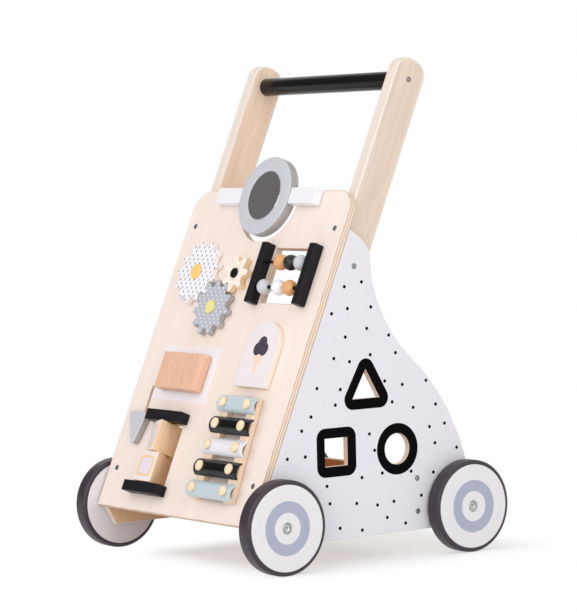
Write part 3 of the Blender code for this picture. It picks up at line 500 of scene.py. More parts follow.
def settle(shape, space, cross_grain=False):
    """Mesh of a finished shape, with its own coordinates kept for its material, set in place."""
    grain = shape.verts.layers.float_vector.new("grain")
    for vertex in shape.verts:
        x, y, z = vertex.co / MM
        vertex[grain] = (y, x, z) if cross_grain else (x, y, z)
    shape.transform(space)
    for face in shape.faces:
        face.smooth = True
    mesh = mesh_of(shape)
    mesh.set_sharp_from_angle(angle=SHARP)
    return mesh


def joined(*meshes):
    """One mesh from several; each keeps its place and its material numbers."""
    shape = bmesh.new()
    for mesh in meshes:
        shape.from_mesh(mesh)
        bpy.data.meshes.remove(mesh)
    return mesh_of(shape)


def shown(name, data):
    """New object in the scene."""
    item = bpy.data.objects.new(name, data)
    bpy.context.scene.collection.objects.link(item)
    return item


def applied(item, helper):
    """Plain mesh of an object with its modifier applied; it and its helper object are removed."""
    bpy.context.view_layer.update()
    mesh = bpy.data.meshes.new_from_object(item.evaluated_get(bpy.context.evaluated_depsgraph_get()))
    for used in (item, helper):
        bpy.data.objects.remove(used)
    return mesh


def cut(mesh, cutter):
    """Mesh with the shape of another taken out of it."""
    body, tool = shown("body", mesh), shown("tool", cutter)
    change = body.modifiers.new("cut", "BOOLEAN")
    change.solver = "EXACT"
    change.object = tool
    return applied(body, tool)


def set_piece(name, mesh, finishes, body, nodes=()):
    """Object for a finished piece, which wears named finishes, rides a body and stands for CAD nodes."""
    mesh.name = name
    for finish in finishes[len(mesh.materials):]:
        mesh.materials.append(LOOKS[finish])
    piece = shown(name, mesh)
    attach(piece, body)
    if nodes:
        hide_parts(*nodes)


def sawn(node, space, rim, regions=(), painted=False, cross_grain=False, rounds=1):
    """Plate in the outline of a CAD node, refined in rounds; paint on its face runs over its rim."""
    low, high = extent(node, space)
    loops = outlines(node, space)
    for _ in range(rounds):
        loops = [refined(loop) for loop in loops]
    wraps = [FACE if painted else EDGE] * len(loops)
    return plate(loops, low.z, high.z, rim, space, regions, wraps, cross_grain)


def set_bar(name, node, finish, rim, cross_grain=False):
    """Straight bar or block on the sloping board, rounded along every edge."""
    low, high = extent(node, BOARD)
    mesh = plate([rectangle(low, high, rim)], low.z, high.z, rim, BOARD, cross_grain=cross_grain)
    set_piece(name, mesh, [finish] * 3, "cart", [node])


def add(tree, kind, sockets=None, **settings):
    """Add a node with its settings and links.

    A socket takes a value, an output, or a node, which stands for its first output in use."""
    made = tree.nodes.new(kind)
    for name, value in settings.items():
        setattr(made, name, value)
    in_use = {socket.name: socket for socket in made.inputs if socket.enabled}
    for name, value in (sockets or {}).items():
        socket = in_use[name] if name in in_use else made.inputs[name]
        if isinstance(value, Node):
            value = next(output for output in value.outputs if output.enabled)
        if isinstance(value, NodeSocket):
            tree.links.new(value, socket)
        elif socket.type == "RGBA":
            socket.default_value = (*value, 1)
        else:
            socket.default_value = value
    return made


def start_finish(name, kept=True):
    """New material, its empty tree and the piece's own coordinates in millimetres.

    A CAD piece has no kept coordinates and takes Object ones."""
    material = bpy.data.materials.new(name)
    material.use_nodes = True
    tree = material.node_tree
    tree.nodes.clear()
    if kept:
        place = add(tree, "ShaderNodeAttribute", attribute_name="grain").outputs["Vector"]
    else:
        metres = add(tree, "ShaderNodeTexCoord").outputs["Object"]
        place = add(tree, "ShaderNodeVectorMath", {0: metres, "Scale": 1 / MM}, operation="SCALE")
    return material, tree, place


def end_finish(material, colour, roughness, height, strength, depth=0.05, gloss=0.5, metallic=0.0):
    """Give a material its colour, its sheen and a fine relief, whose depth is in millimetres.

    gloss is the shader's specular level."""
    tree = material.node_tree
    relief = add(tree, "ShaderNodeBump", {"Height": height, "Strength": strength, "Distance": depth * MM})
    shader = add(tree, "ShaderNodeBsdfPrincipled", {
        "Base Color": colour, "Roughness": roughness, "Normal": relief, "Specular IOR Level": gloss,
        "Metallic": metallic,
    })
    add(tree, "ShaderNodeOutputMaterial", {"Surface": shader})
    return material


def deeper(colour, share):
    """Darker and warmer shade of a wood: blue goes down by the share, green and red by less of it."""
    green_part, red_part = 0.8, 0.5
    red, green, blue = colour
    return red * (1 - red_part * share), green * (1 - green_part * share), blue * (1 - share)


def wood(name, colour, share, figure, fibre, roughness=0.5, fleck=0.0, along=1, gloss=0.5):
    """Lacquered solid wood or veneer: soft figure and fine fibres along the grain, low satin sheen.

    share is how much deeper the dark figure is, figure and fibre are widths in millimetres, fleck is how
    strongly short dark rays show, and along is the axis of the grain."""
    material, tree, place = start_finish(name)
    ray, ray_share, uneven = 0.6, 0.7, 0.08
    layers = (   # width in millimetres, length in widths, settings
        (figure, 16, {"Detail": 3.0, "Distortion": 0.8}),
        (fibre, 45, {"Detail": 4.0, "Roughness": 0.65}),
        (ray, 9, {"Detail": 1.0}),
    )
    streaks = []
    for width, run, settings in layers:
        scale = [1 / width] * 3
        scale[along] /= run
        drawn_out = add(tree, "ShaderNodeVectorMath", {0: place, 1: scale}, operation="MULTIPLY")
        streaks.append(add(tree, "ShaderNodeTexNoise", {"Vector": drawn_out, "Scale": 1.0, **settings}))
    figured, fibres, rays = streaks
    both = add(tree, "ShaderNodeMath", {0: figured, 1: fibres}, operation="ADD")
    tone = add(tree, "ShaderNodeMapRange", {"Value": both, "From Min": 0.75, "From Max": 1.25})
    deep = deeper(colour, share)
    shade = add(tree, "ShaderNodeMix", {"Factor": tone, "A": deep, "B": colour}, data_type="RGBA")
    if fleck:
        limits = {"From Min": 0.52, "From Max": 0.7, "To Max": fleck}
        mark = add(tree, "ShaderNodeMapRange", {"Value": rays, **limits})
        dark = deeper(deep, ray_share)
        shade = add(tree, "ShaderNodeMix", {"Factor": mark, "A": shade, "B": dark}, data_type="RGBA")
    limits = {"To Min": roughness + uneven, "To Max": roughness - uneven}
    sheen = add(tree, "ShaderNodeMapRange", {"Value": fibres, **limits})
    return end_finish(material, shade, sheen, fibres, strength=0.25, depth=0.1, gloss=gloss)


def plywood_edge(name, pale, deep):
    """Sawn and sanded plywood edge: pale and darker plies in turn, soft glue lines and open end grain."""
    material, tree, place = start_finish(name)
    depth = add(tree, "ShaderNodeSeparateXYZ", {0: place}).outputs["Z"]
    wander = add(tree, "ShaderNodeTexNoise", {"Vector": place, "Scale": 0.08, "Detail": 2.0})
    plies = add(tree, "ShaderNodeMath", {0: depth, 1: 1 / PLY, 2: wander}, operation="MULTIPLY_ADD")
    swing = add(tree, "ShaderNodeMath", {0: plies, 1: 1.0}, operation="PINGPONG")
    limits = {"From Min": 0.3, "From Max": 0.6}
    stripe = add(
        tree, "ShaderNodeMapRange", {"Value": swing, **limits}, interpolation_type="SMOOTHSTEP"
    )
    grit = add(tree, "ShaderNodeTexNoise", {"Vector": place, "Scale": 2.2, "Detail": 3.0})
    speckle = add(tree, "ShaderNodeMapRange", {"Value": grit, "To Min": -0.2, "To Max": 0.2})
    tone = add(tree, "ShaderNodeMath", {0: stripe, 1: speckle}, operation="ADD", use_clamp=True)
    shade = add(tree, "ShaderNodeMix", {"Factor": tone, "A": deep, "B": pale}, data_type="RGBA")
    roughness = 0.6
    return end_finish(material, shade, roughness, grit, strength=0.3, depth=0.1, gloss=PRINT_GLOSS)


def lacquer(name, colour, roughness=0.4, spread=0.04, peel=0.12, gloss=0.5):
    """Sprayed water-based lacquer on wood: even colour, faint cloudiness, fine orange peel in its sheen.

    spread is how much its clouds darken it, and peel how strongly the orange peel shows."""
    material, tree, place = start_finish(name)
    uneven = 0.07
    cloud = add(tree, "ShaderNodeTexNoise", {"Vector": place, "Scale": 0.06, "Detail": 2.0})
    low = [c * (1 - spread) for c in colour]
    shade = add(tree, "ShaderNodeMix", {"Factor": cloud, "A": low, "B": colour}, data_type="RGBA")
    grit = add(tree, "ShaderNodeTexNoise", {"Vector": place, "Scale": 0.9, "Detail": 3.0})
    limits = {"To Min": roughness - uneven, "To Max": roughness + uneven}
    sheen = add(tree, "ShaderNodeMapRange", {"Value": grit, **limits})
    return end_finish(material, shade, sheen, grit, peel, gloss=gloss)


def printed(name, ground, ink=None, mark=(1, 1), pitch=(1, 1)):
    """Screen print on sanded plywood: matt ground with the veneer's pores, small marks with crisp rims.

    mark and pitch are (across, up) in millimetres; the marks stand in staggered rows."""
    material, tree, place = start_finish(name)
    pore_shade, roughness = 0.95, 0.5
    fine = add(tree, "ShaderNodeVectorMath", {0: place, 1: (2.0, 0.05, 2.0)}, operation="MULTIPLY")
    pores = add(tree, "ShaderNodeTexNoise", {"Vector": fine, "Scale": 1.0, "Detail": 3.0})
    low = [c * pore_shade for c in ground]
    shade = add(tree, "ShaderNodeMix", {"Factor": pores, "A": low, "B": ground}, data_type="RGBA")
    if ink:
        rows = []
        half = (pitch[0] / 2, pitch[1], 1)
        cell = {1: half, 2: [-h for h in half]}
        size = (2 / mark[0], 2 / mark[1], 0)
        for start in ((0, 0, 0), half):
            begun = add(tree, "ShaderNodeVectorMath", {0: place, 1: start}, operation="ADD")
            spot = add(tree, "ShaderNodeVectorMath", {0: begun, **cell}, operation="WRAP")
            sized = add(tree, "ShaderNodeVectorMath", {0: spot, 1: size}, operation="MULTIPLY")
            rows.append(add(tree, "ShaderNodeVectorMath", {0: sized}, operation="LENGTH"))
        apart = add(tree, "ShaderNodeMath", {0: rows[0], 1: rows[1]}, operation="MINIMUM")
        inked = add(tree, "ShaderNodeMapRange", {"Value": apart, "From Min": 1.12, "From Max": 0.88})
        shade = add(tree, "ShaderNodeMix", {"Factor": inked, "A": shade, "B": ink}, data_type="RGBA")
    return end_finish(material, shade, roughness, pores, strength=0.15, gloss=PRINT_GLOSS)


def framed(name, ground, line, panel, size):
    """Printed picture face of a turning block: a plain rounded frame and panel on a pale matt ground.

    size is half the frame's (width, height) in millimetres."""
    material, tree, place = start_finish(name)
    scale = (1 / size[0], 0, 1 / size[1])
    sized = add(tree, "ShaderNodeVectorMath", {0: place, 1: scale}, operation="MULTIPLY")
    squared = add(tree, "ShaderNodeVectorMath", {0: sized, 1: sized}, operation="MULTIPLY")
    reach = add(tree, "ShaderNodeVectorMath", {0: squared}, operation="LENGTH")
    within = add(tree, "ShaderNodeMapRange", {"Value": reach, "From Min": 1.06, "From Max": 0.94})
    middle = add(tree, "ShaderNodeMapRange", {"Value": reach, "From Min": 0.64, "From Max": 0.54})
    drawn = add(tree, "ShaderNodeMix", {"Factor": middle, "A": line, "B": panel}, data_type="RGBA")
    shade = add(tree, "ShaderNodeMix", {"Factor": within, "A": ground, "B": drawn}, data_type="RGBA")
    fine = add(tree, "ShaderNodeVectorMath", {0: place, 1: (2.0, 2.0, 0.06)}, operation="MULTIPLY")
    pores = add(tree, "ShaderNodeTexNoise", {"Vector": fine, "Scale": 1.0, "Detail": 3.0})
    roughness = 0.5
    return end_finish(material, shade, roughness, pores, strength=0.2, gloss=PRINT_GLOSS)


def metal(name, colour, roughness, metallic=1.0, peel=0.1, kept=True, gloss=0.5, hollow=None):
    """Plated or enamelled metal: smooth, with faint handling marks in its gloss.

    Below the height hollow, in millimetres, it is darkened with painted shade, which stands in for the
    shade in a recess."""
    material, tree, place = start_finish(name, kept)
    uneven, painted_recess_shade = 0.3, 0.06
    settings = {"Scale": 0.35, "Detail": 5.0, "Roughness": 0.7}
    marks = add(tree, "ShaderNodeTexNoise", {"Vector": place, **settings})
    limits = {"To Min": roughness * (1 - uneven), "To Max": roughness * (1 + uneven)}
    sheen = add(tree, "ShaderNodeMapRange", {"Value": marks, **limits})
    shade = colour
    if hollow:
        # painted shade: the colour darkens towards the bottom of a recess
        limits = {"From Min": 0.6 * hollow, "From Max": 1.4 * hollow}
        height = add(tree, "ShaderNodeSeparateXYZ", {0: place}).outputs["Z"]
        unshaded_share = add(tree, "ShaderNodeMapRange", {"Value": height, **limits})
        dark = [c * painted_recess_shade for c in colour]
        shade = add(tree, "ShaderNodeMix", {"Factor": unshaded_share, "A": dark, "B": colour}, data_type="RGBA")
    return end_finish(material, shade, sheen, marks, peel, gloss=gloss, metallic=metallic)


LOOKS = {}


def make_looks(scene):
    """Every finish of the cart, by name; grain and print sizes are in millimetres."""
    c, s = scene.cart_colours, scene.cart_sizes
    dash = (0.45 * s.dash / MM, s.dash / MM)
    gear_dot = (s.gear_dot / MM, s.gear_dot / MM)
    picture = (13.5, 12.0)
    LOOKS.update(
        # clear-lacquered wood: pale and satin, with a broad soft figure on veneer and a finer one elsewhere
        birch=wood("lacquered_birch", c.birch, 0.09, 22, 2.2),
        inside=wood("inner_birch", c.inside, 0.15, 14, 1.6),
        # painted shade: the bin's birch is darker and more orange for the shade and bounce light inside the
        # bin
        bin=wood("bin_birch_painted_shade", c.bin, 0.25, 9, 1.1),
        # painted light: the left upright is a lighter, warmer copy of the same beech
        left_upright=wood("left_upright_beech_painted_light", c.left_upright, 0.3, 8, 1.2),
        right_upright=wood("right_upright_beech", c.right_upright, 0.2, 8, 1.2),
        upright_edge=wood("upright_edge_beech", c.upright_edge, 0.12, 5, 0.9),
        turning=wood("turning_block_pine", c.turning, 0.3, 6, 0.8, along=2),
        peg=wood("peg_birch", c.peg, 0.2, 4, 0.7, along=2),
        rail=wood("rail_birch", c.rail, 0.2, 5, 0.8),
        gear_natural=wood("natural_gear_birch", c.gear_natural, 0.12, 6, 0.9),
        natural_wall=wood("natural_gear_edge", c.natural_wall, 0.2, 4, 0.8, along=2),
        # steamed beech is pinker and shows short dark rays, polished pine is glossy
        steamed=wood("steamed_beech", c.steamed, 0.2, 5, 0.9, fleck=0.35),
        natural=wood("polished_pine", c.natural, 0.3, 5, 0.7, 0.22),
        # black stain lets the beech's grain through as a change of sheen
        black=wood("black_stained_beech", c.black, 0.6, 3, 0.7, 0.42, gloss=0.25),
        edge=plywood_edge("plywood_edge", c.edge, c.edge_dark),
        pale_edge=plywood_edge("side_board_edge", c.edge, deeper(c.edge, 0.2)),
        arch_edge=plywood_edge("arched_plate_edge", c.arch_edge, deeper(c.arch_edge, 0.15)),
        # screen prints: matt, with the veneer's pores showing through
        dotted=printed("white_print", c.print_white),
        gear_white=printed("white_gear_print", c.gear_white, c.slate, mark=dash, pitch=(9.0, 4.8)),
        gear_grey=printed("grey_gear_print", c.gear_grey, c.gear_white, mark=gear_dot, pitch=(8.5, 4.5)),
        picture=framed("block_print", c.picture, c.picture_line, c.picture_panel, picture),
        # solid inks lie as thick as lacquer and hide the pores
        ink=lacquer("printed_ink", c.ink, 0.6, gloss=0.03),
        field=lacquer("printed_field", c.field, 0.5),
        arch=lacquer("arched_plate_print", c.arch, 0.5),
        scoop=lacquer("dark_print", c.scoop, 0.5, 0.15),
        cone=lacquer("pale_print", c.cone, 0.5),
        ring=lacquer("ring_print", c.ring),
        # satin lacquers, duller on sawn edges and glossy on the beads and the handle
        white=lacquer("white_lacquer", c.white),
        mount=lacquer("mount_lacquer", c.mount),
        grey=lacquer("grey_lacquer", c.grey),
        orange=lacquer("orange_lacquer", c.orange),
        yellow=lacquer("yellow_lacquer", c.yellow),
        white_wall=lacquer("white_gear_edge", c.gear_wall, 0.55, 0.08),
        # painted shade: the grey edges wear a darker copy of the grey lacquer
        grey_wall=lacquer("grey_edge_painted_shade", c.grey_wall, 0.55, 0.12),
        white_ball=lacquer("white_bead_lacquer", c.mount, 0.2),
        grey_ball=lacquer("grey_bead_lacquer", c.grey, 0.2),
        black_ball=lacquer("black_bead_lacquer", c.ink, 0.2),
        handle=lacquer("black_handle_lacquer", c.ink, 0.25, 0.2, 0.15, 0.25),
        # moulded rubber is built as lacquer is, with a coarser skin
        rubber=lacquer("moulded_rubber", c.rubber, 0.42, 0.15, 0.3),
        # plated steel, silvered glass and enamelled sheet; the bars' hollow sides are dull and near black
        # as painted shade
        # painted shade in the screws' cross recesses, below 0.3 mm
        zinc=metal("zinc_plated_steel", c.zinc, 0.35, hollow=0.3),
        hidden_zinc=metal("zinc_plated_pin", c.zinc, 0.35, kept=False),
        nickel=metal("nickel_plated_steel", c.nickel, 0.25),
        glass=metal("silvered_glass", c.silver, 0.03, peel=0.0),
        blue_bar=metal("light_blue_enamel", c.blue_bar, 0.3, 0.0),
        black_bar=metal("black_enamel", c.ink, 0.1, 0.0, 0.05, gloss=0.3),
        white_bar=metal("white_enamel", c.white_bar, 0.3, 0.0),
        bar_inside=metal("bar_hollow_painted_shade", c.bar_inside, 0.6, 0.0),
    )


def given(context):
    """Sizes for an operator, which can count on every finish in LOOKS."""
    if not LOOKS:
        make_looks(context.scene)
    return context.scene.cart_sizes


class CART_OT_sloping_board(Operator):
    """Sloping activity board with its windows, slot and mirror notch, and the printed field"""
    bl_idname = "cart.sloping_board"
    bl_label = "Sloping board"

    def execute(self, context):
        sizes = given(context)
        low, high = extent("beech_block", BOARD)
        low -= Vector((sizes.field_left, sizes.field_ends, 0))
        high += Vector((sizes.field_right, sizes.field_ends, 0))
        field = rectangle(low, high, sizes.board_rim)
        mesh = sawn("front_board", BOARD, sizes.board_rim, [(PRINT, field)])
        finishes = ["birch", "edge", "birch", "field"]
        set_piece("sloping_board", mesh, finishes, "cart", ["front_board"])
        return {"FINISHED"}


def strewn_dots(loops, borders, low, high, sizes):
    """Outlines of the dots on a side board: loose staggered rows, clear of its edges, holes and borders."""
    chance = random.Random(DOT_SEED)
    pitch, radius = sizes.dot_spacing, sizes.dot / 2
    rise, loose, room = pitch * math.sqrt(3) / 2, 0.24 * pitch, 1.6 * radius
    dots = []
    for row in range(math.ceil((high.y - low.y) / rise)):
        for column in range(math.ceil((high.x - low.x) / pitch) + 1):
            across = low.x + (column + row % 2 / 2) * pitch + chance.uniform(-loose, loose)
            up = low.y + (row + 0.5) * rise + chance.uniform(-loose, loose)
            place = Vector((across, up))
            clear = min(gap_to(place, loop) for loop in loops + borders) > room
            if clear and inside(place, loops) and not any(inside(place, [border]) for border in borders):
                dots.append(circle(place, radius, SMALL_ROUND // 2))
    return dots


SIDE_SCREWS = [Vector((0, along, up)) * MM for along, up in ((-14.8, 315.4), (64.0, 84.2), (64.0, 48.5))]
BOARD_SCREWS = [Vector((across, up, 0)) * MM for across in (-130, 130) for up in (100.6, 387.6)]


class CART_OT_side_boards(Operator):
    """Side boards with three bordered sorting holes each"""
    bl_idname = "cart.side_boards"
    bl_label = "Side boards"

    def execute(self, context):
        sizes = given(context)
        smallest, largest = 20 * MM, 60 * MM
        for side, hand in SIDES:
            name, space = f"{hand}_side_board", side_frame(side)
            low, high = extent(name, space)
            loops, borders, wraps = outlines(name, space), [], []
            for loop in loops:
                width = max(point.x for point in loop) - min(point.x for point in loop)
                sorting = smallest < width < largest
                wraps.append(PRINT if sorting else FACE)
                if sorting:
                    borders.append(grown(loop, sizes.border))
            heads = [circle((space.inverted() @ screw).xy, sizes.screw) for screw in SIDE_SCREWS]
            dots = strewn_dots(loops, borders + heads, low, high, sizes)
            regions = [(PRINT, outline) for outline in borders + dots]
            loops = [refined(loop) for loop in loops]
            mesh = plate(loops, low.z, high.z, sizes.board_rim, space, regions, wraps)
            finishes = ["dotted", "pale_edge", "inside", "ink"]
            set_piece(f"dotted_{name}", mesh, finishes, "cart", [name])
        return {"FINISHED"}


class CART_OT_uprights(Operator):
    """Two uprights and the dowel handle between them"""
    bl_idname = "cart.uprights"
    bl_label = "Uprights and handle"

    def execute(self, context):
        sizes = given(context)
        for side, hand in SIDES:
            name, space = f"{hand}_upright", upright_frame(side)
            low, high = extent(name, space)
            top = rectangle(low, (high.x, high.y - sizes.upright_drop), sizes.upright_corner)
            outline = [low.xy, Vector((high.x, low.y)), *top[len(top) // 2:]]
            mesh = plate([outline], low.z, high.z, sizes.upright_rim, space)
            set_piece(f"{name}_post", mesh, [name, "upright_edge", name], "cart", [name])
        low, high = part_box("handle_bar")
        centre = (low + high) / 2
        radius, half = (high.z - low.z) / 2, high.x - centre.x
        profile = [(0, half), *shoulders(radius, half, -half, sizes.board_rim), (0, -half)]
        mesh = turned(profile, axis_frame(centre, X))
        set_piece("dowel_handle", mesh, ["handle"], "cart", ["handle_bar"])
        return {"FINISHED"}


class CART_OT_bin(Operator):
    """Floor and rear board of the bin"""
    bl_idname = "cart.bin"
    bl_label = "Bin"

    def execute(self, context):
        sizes = given(context)
        spaces = {"floor_board": Matrix.Identity(4), "rear_board": frame_of(Vector((0, 0, 0)), -X, Z)}
        for name, space in spaces.items():
            mesh = sawn(name, space, sizes.board_rim, cross_grain=True)
            set_piece(f"bin_{name}", mesh, ["bin", "edge", "bin"], "cart", [name])
        return {"FINISHED"}


def hexagon(radius):
    """Six-sided outline with just broken corners."""
    return rounded(circle((0, 0), radius, 6), 0.08 * radius)


class CART_OT_wheels(Operator):
    """Four wheels: a lacquered disc with a printed ring, a rubber tyre and an axle screw"""
    bl_idname = "cart.wheels"
    bl_label = "Wheels"

    def execute(self, context):
        sizes = given(context)
        for end in ("front", "rear"):
            for side, hand in SIDES:
                name = f"{end}_{hand}"
                centre = Vector(JOINTS[f"{name}_roll"]["pos_m"])
                space = frame_of(centre, Y * side, Z)
                self.disc(name, space, sizes)
                self.tyre(name, space)
                self.axle(name, space, centre.x * side, sizes)
        return {"FINISHED"}

    def disc(self, name, space, sizes):
        """Disc with a printed ring, a recess for its screw and a hub towards the cart."""
        low, high = extent(f"{name}_wheel", space)
        face, radius = high.z, high.x - TYRE_GAP
        rim, lip, depth = 0.8 * MM, 0.4 * MM, 4.8 * MM
        recess, bore, hub = sizes.recess / 2, 3.2 * MM, 13 * MM
        profile = [
            (bore, face - depth), (recess, face - depth), (recess, face - lip), (recess + lip, face),
            (sizes.ring_inner, face), (sizes.ring_outer, face, 1), (radius - rim - lip, face),
            *shoulders(radius, face, -face, rim), (hub, -face), (hub, low.z), (bore, low.z),
        ]
        mesh = turned(profile, space, ring=True)
        set_piece(f"{name}_disc", mesh, ["white", "ring"], name, [f"{name}_wheel"])

    def tyre(self, name, space):
        """Rubber tyre with rounded shoulders."""
        low, high = extent(f"{name}_tyre", space)
        inner = extent(f"{name}_wheel", space)[1].x + TYRE_GAP
        lip, shoulder = 0.8 * MM, 2.6 * MM
        profile = [
            *arc_points(inner + lip, high.z - lip, lip, 180, 90),
            *shoulders(high.x, high.z, low.z, shoulder),
            *arc_points(inner + lip, low.z + lip, lip, -90, -180),
        ]
        mesh = turned(profile, space, FINE_ROUND, ring=True)
        set_piece(f"{name}_rubber_tyre", mesh, ["rubber"], name, [f"{name}_tyre"])

    def axle(self, name, space, reach, sizes):
        """Socket screw through the wheel, with a nut inside the side board.

        reach is the wheel's distance out from the cart's middle."""
        node = f"{name}_axle_bolt"
        low, high = extent(node, space)
        head, shank, nut = sizes.axle_head / 2, 2.9 * MM, 6.2 * MM
        rim, nut_rim, thick = 0.9 * MM, 0.5 * MM, 2.6 * MM
        socket, socket_rim, depth = 0.52 * head, 0.1 * MM, 0.7 * thick
        top = high.z - rim
        profile = [
            (0, top), *arc_points(head - rim, top - rim, rim, 90, 0), (head, top - thick),
            (shank, top - thick), (shank, low.z), (0, low.z),
        ]
        cutter = plate([hexagon(socket)], top - depth, top + thick, socket_rim, space)
        screw = cut(turned(profile, space, SMALL_ROUND), cutter)
        board = extent("right_side_board", side_frame(1))[0].z - reach
        fixed = plate([hexagon(nut)], low.z + SEAT_GAP, board - SEAT_GAP, nut_rim, space)
        body = NODES[node]["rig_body"]
        set_piece(f"{name}_axle_screw", joined(screw, fixed), ["nickel"] * 3, body, [node])


def facing_out(node):
    """Normal of the face of a CAD node that looks out of the sloping board the most."""
    faces = NODES[node].data.polygons
    return max(faces, key=lambda face: face.normal.dot(OUT_OF_BOARD) * face.area).normal.copy()


class CART_OT_mirror(Operator):
    """Round mirror in a turning lacquered ring between two mounts"""
    bl_idname = "cart.mirror"
    bl_label = "Mirror"

    def execute(self, context):
        sizes = given(context)
        low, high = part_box("mirror_ring")
        space = frame_of((low + high) / 2, X, facing_out("mirror_glass").cross(X).normalized())
        low, high = extent("mirror_ring", space)
        glass_low, glass_high = extent("mirror_glass", space)
        pane, back, front = glass_high.x, glass_low.z, glass_high.z
        lip, edge, floor = pane + SEAT_GAP, sizes.board_rim, back - SEAT_GAP
        profile = [
            (0, floor), (lip, floor), *arc_points(lip + edge, high.z - edge, edge, 180, 90),
            *shoulders(high.x, high.z, low.z, sizes.soft_rim, 1), (0, low.z, 1),
        ]
        mesh = turned(profile, space, FINE_ROUND)
        set_piece("mirror_hoop", mesh, ["grey", "grey_wall"], "mirror", ["mirror_ring"])
        profile = [(0, front), (pane - SEAT_GAP, front), (pane, front - SEAT_GAP), (pane, back), (0, back)]
        mesh = turned(profile, space, FINE_ROUND)
        set_piece("mirror_pane", mesh, ["glass"], "mirror", ["mirror_glass"])
        for _, hand in SIDES:
            name = f"{hand}_mirror_mount"
            set_bar(f"{name}_block", name, "mount", sizes.soft_rim)
        return {"FINISHED"}


class CART_OT_gears(Operator):
    """Three meshing wooden gears on headed pins"""
    bl_idname = "cart.gears"
    bl_label = "Gears"

    def execute(self, context):
        sizes = given(context)
        kinds = (
            ("white", "orange", "white_paint", "orange_paint"),
            ("grey", "yellow", "grey_paint", "pale_yellow_paint"),
            ("natural", "handle", "birch_plywood", "black_paint"),
        )
        rim, shank = sizes.piece_rim, 3 * MM
        for colour, head, slot, head_slot in kinds:
            name, pin, wall = f"{colour}_gear", f"{colour}_gear_pin", f"{colour}_wall"
            space = frame_of(Vector(JOINTS[f"{name}_spin"]["pos_m"]), X, UP_SLOPE)
            mesh = sawn(name, space, rim, painted=True, rounds=2)
            set_piece(f"toothed_{name}", mesh, [f"gear_{colour}", wall, wall], name, [name])
            foot = extent(name, space)[1].z + SEAT_GAP
            low, high = extent(pin, space)
            profile = [
                (0, high.z), *arc_points(high.x - rim, high.z - rim, rim, 90, 0), (high.x, foot),
                (shank, foot), (shank, low.z), (0, low.z),
            ]
            mesh = turned(profile, space)
            set_piece(f"{name}_cap", mesh, [head], NODES[pin]["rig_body"], [pin])
        return {"FINISHED"}


class CART_OT_abacus(Operator):
    """Two black posts with two rods and six beads"""
    bl_idname = "cart.abacus"
    bl_label = "Abacus"

    def execute(self, context):
        sizes = given(context)
        for _, hand in SIDES:
            name = f"{hand}_abacus_post"
            set_bar(f"{name}_bar", name, "black", sizes.piece_rim)
        for name in ("upper_abacus_rod", "lower_abacus_rod"):
            low, high = extent(name, BOARD)
            radius, half = (high.y - low.y) / 2, (high.x - low.x) / 2
            profile = [(0, half), (radius, half), (radius, -half), (0, -half)]
            mesh = turned(profile, axis_frame(BOARD @ ((low + high) / 2), X), SMALL_ROUND)
            set_piece(f"{name}_wire", mesh, ["handle"], "cart", [name])
        beads = {
            "upper_bead_natural": "natural", "upper_bead_black": "black_ball",
            "upper_bead_grey": "grey_ball", "lower_bead_grey": "grey_ball",
            "lower_bead_white": "white_ball", "lower_bead_natural": "natural",
        }
        bore, lip = 2.1 * MM, 0.5 * MM
        for name, finish in beads.items():
            low, high = extent(name, BOARD)
            radius = (high.y - low.y) / 2
            end = math.degrees(math.acos((bore + lip) / radius))
            ball = arc_points(0, 0, radius, end, -end, steps=ROUND // 2)
            reach = ball[0][1] - lip
            # painted shade: the bore's wall wears black ink for the shade inside the hole round the black
            # rod
            profile = [(bore, reach, 1), *ball, (bore, -reach)]
            mesh = turned(profile, axis_frame(BOARD @ ((low + high) / 2), X), ring=True)
            set_piece(f"{name}_ball", mesh, [finish, "ink"], name, [name])
        return {"FINISHED"}


class CART_OT_turning_blocks(Operator):
    """Two three-sided blocks with one printed face each, between two black bars"""
    bl_idname = "cart.turning_blocks"
    bl_label = "Turning blocks"

    def execute(self, context):
        sizes = given(context)
        rim, facing_front = sizes.piece_rim, 0.98
        for name in ("lower_flip_bar", "upper_flip_bar"):
            set_bar(f"{name}_rail", name, "black", rim, cross_grain=True)
        for name in ("lower_flip_block", "upper_flip_block"):
            front = facing_out(name)
            joint = next(joint for joint in JOINTS.values() if joint["child"] == name)
            space = frame_of(Vector(joint["pos_m"]), UP_SLOPE.cross(front).normalized(), -front)
            low, high = extent(name, space)
            middle = Matrix.Translation((0, 0, (low.z + high.z) / 2))
            half = (high.z - low.z) / 2
            loops = sorted(outlines(name, space), key=lambda loop: max(point.length for point in loop))
            share = 1 - sizes.block_inset / gap_to(Vector((0, 0)), loops[-1])
            loops[-1] = [point * share for point in loops[-1]]
            mesh = plate([refined(loop) for loop in loops], -half, half, rim, space @ middle)
            for face in mesh.polygons:
                if face.normal.dot(front) > facing_front:
                    face.material_index = PRINT
            set_piece(f"{name}_prism", mesh, ["turning"] * 3 + ["picture"], name, [name])
        return {"FINISHED"}


class CART_OT_slider(Operator):
    """Rounded triangle that slides in the slot"""
    bl_idname = "cart.slider"
    bl_label = "Slider"

    def execute(self, context):
        sizes = given(context)
        mesh = sawn("slider_triangle", BOARD, sizes.soft_rim, painted=True)
        finishes = ["grey", "grey_wall", "grey_wall"]
        set_piece("sliding_triangle", mesh, finishes, "slider", ["slider_triangle"])
        return {"FINISHED"}


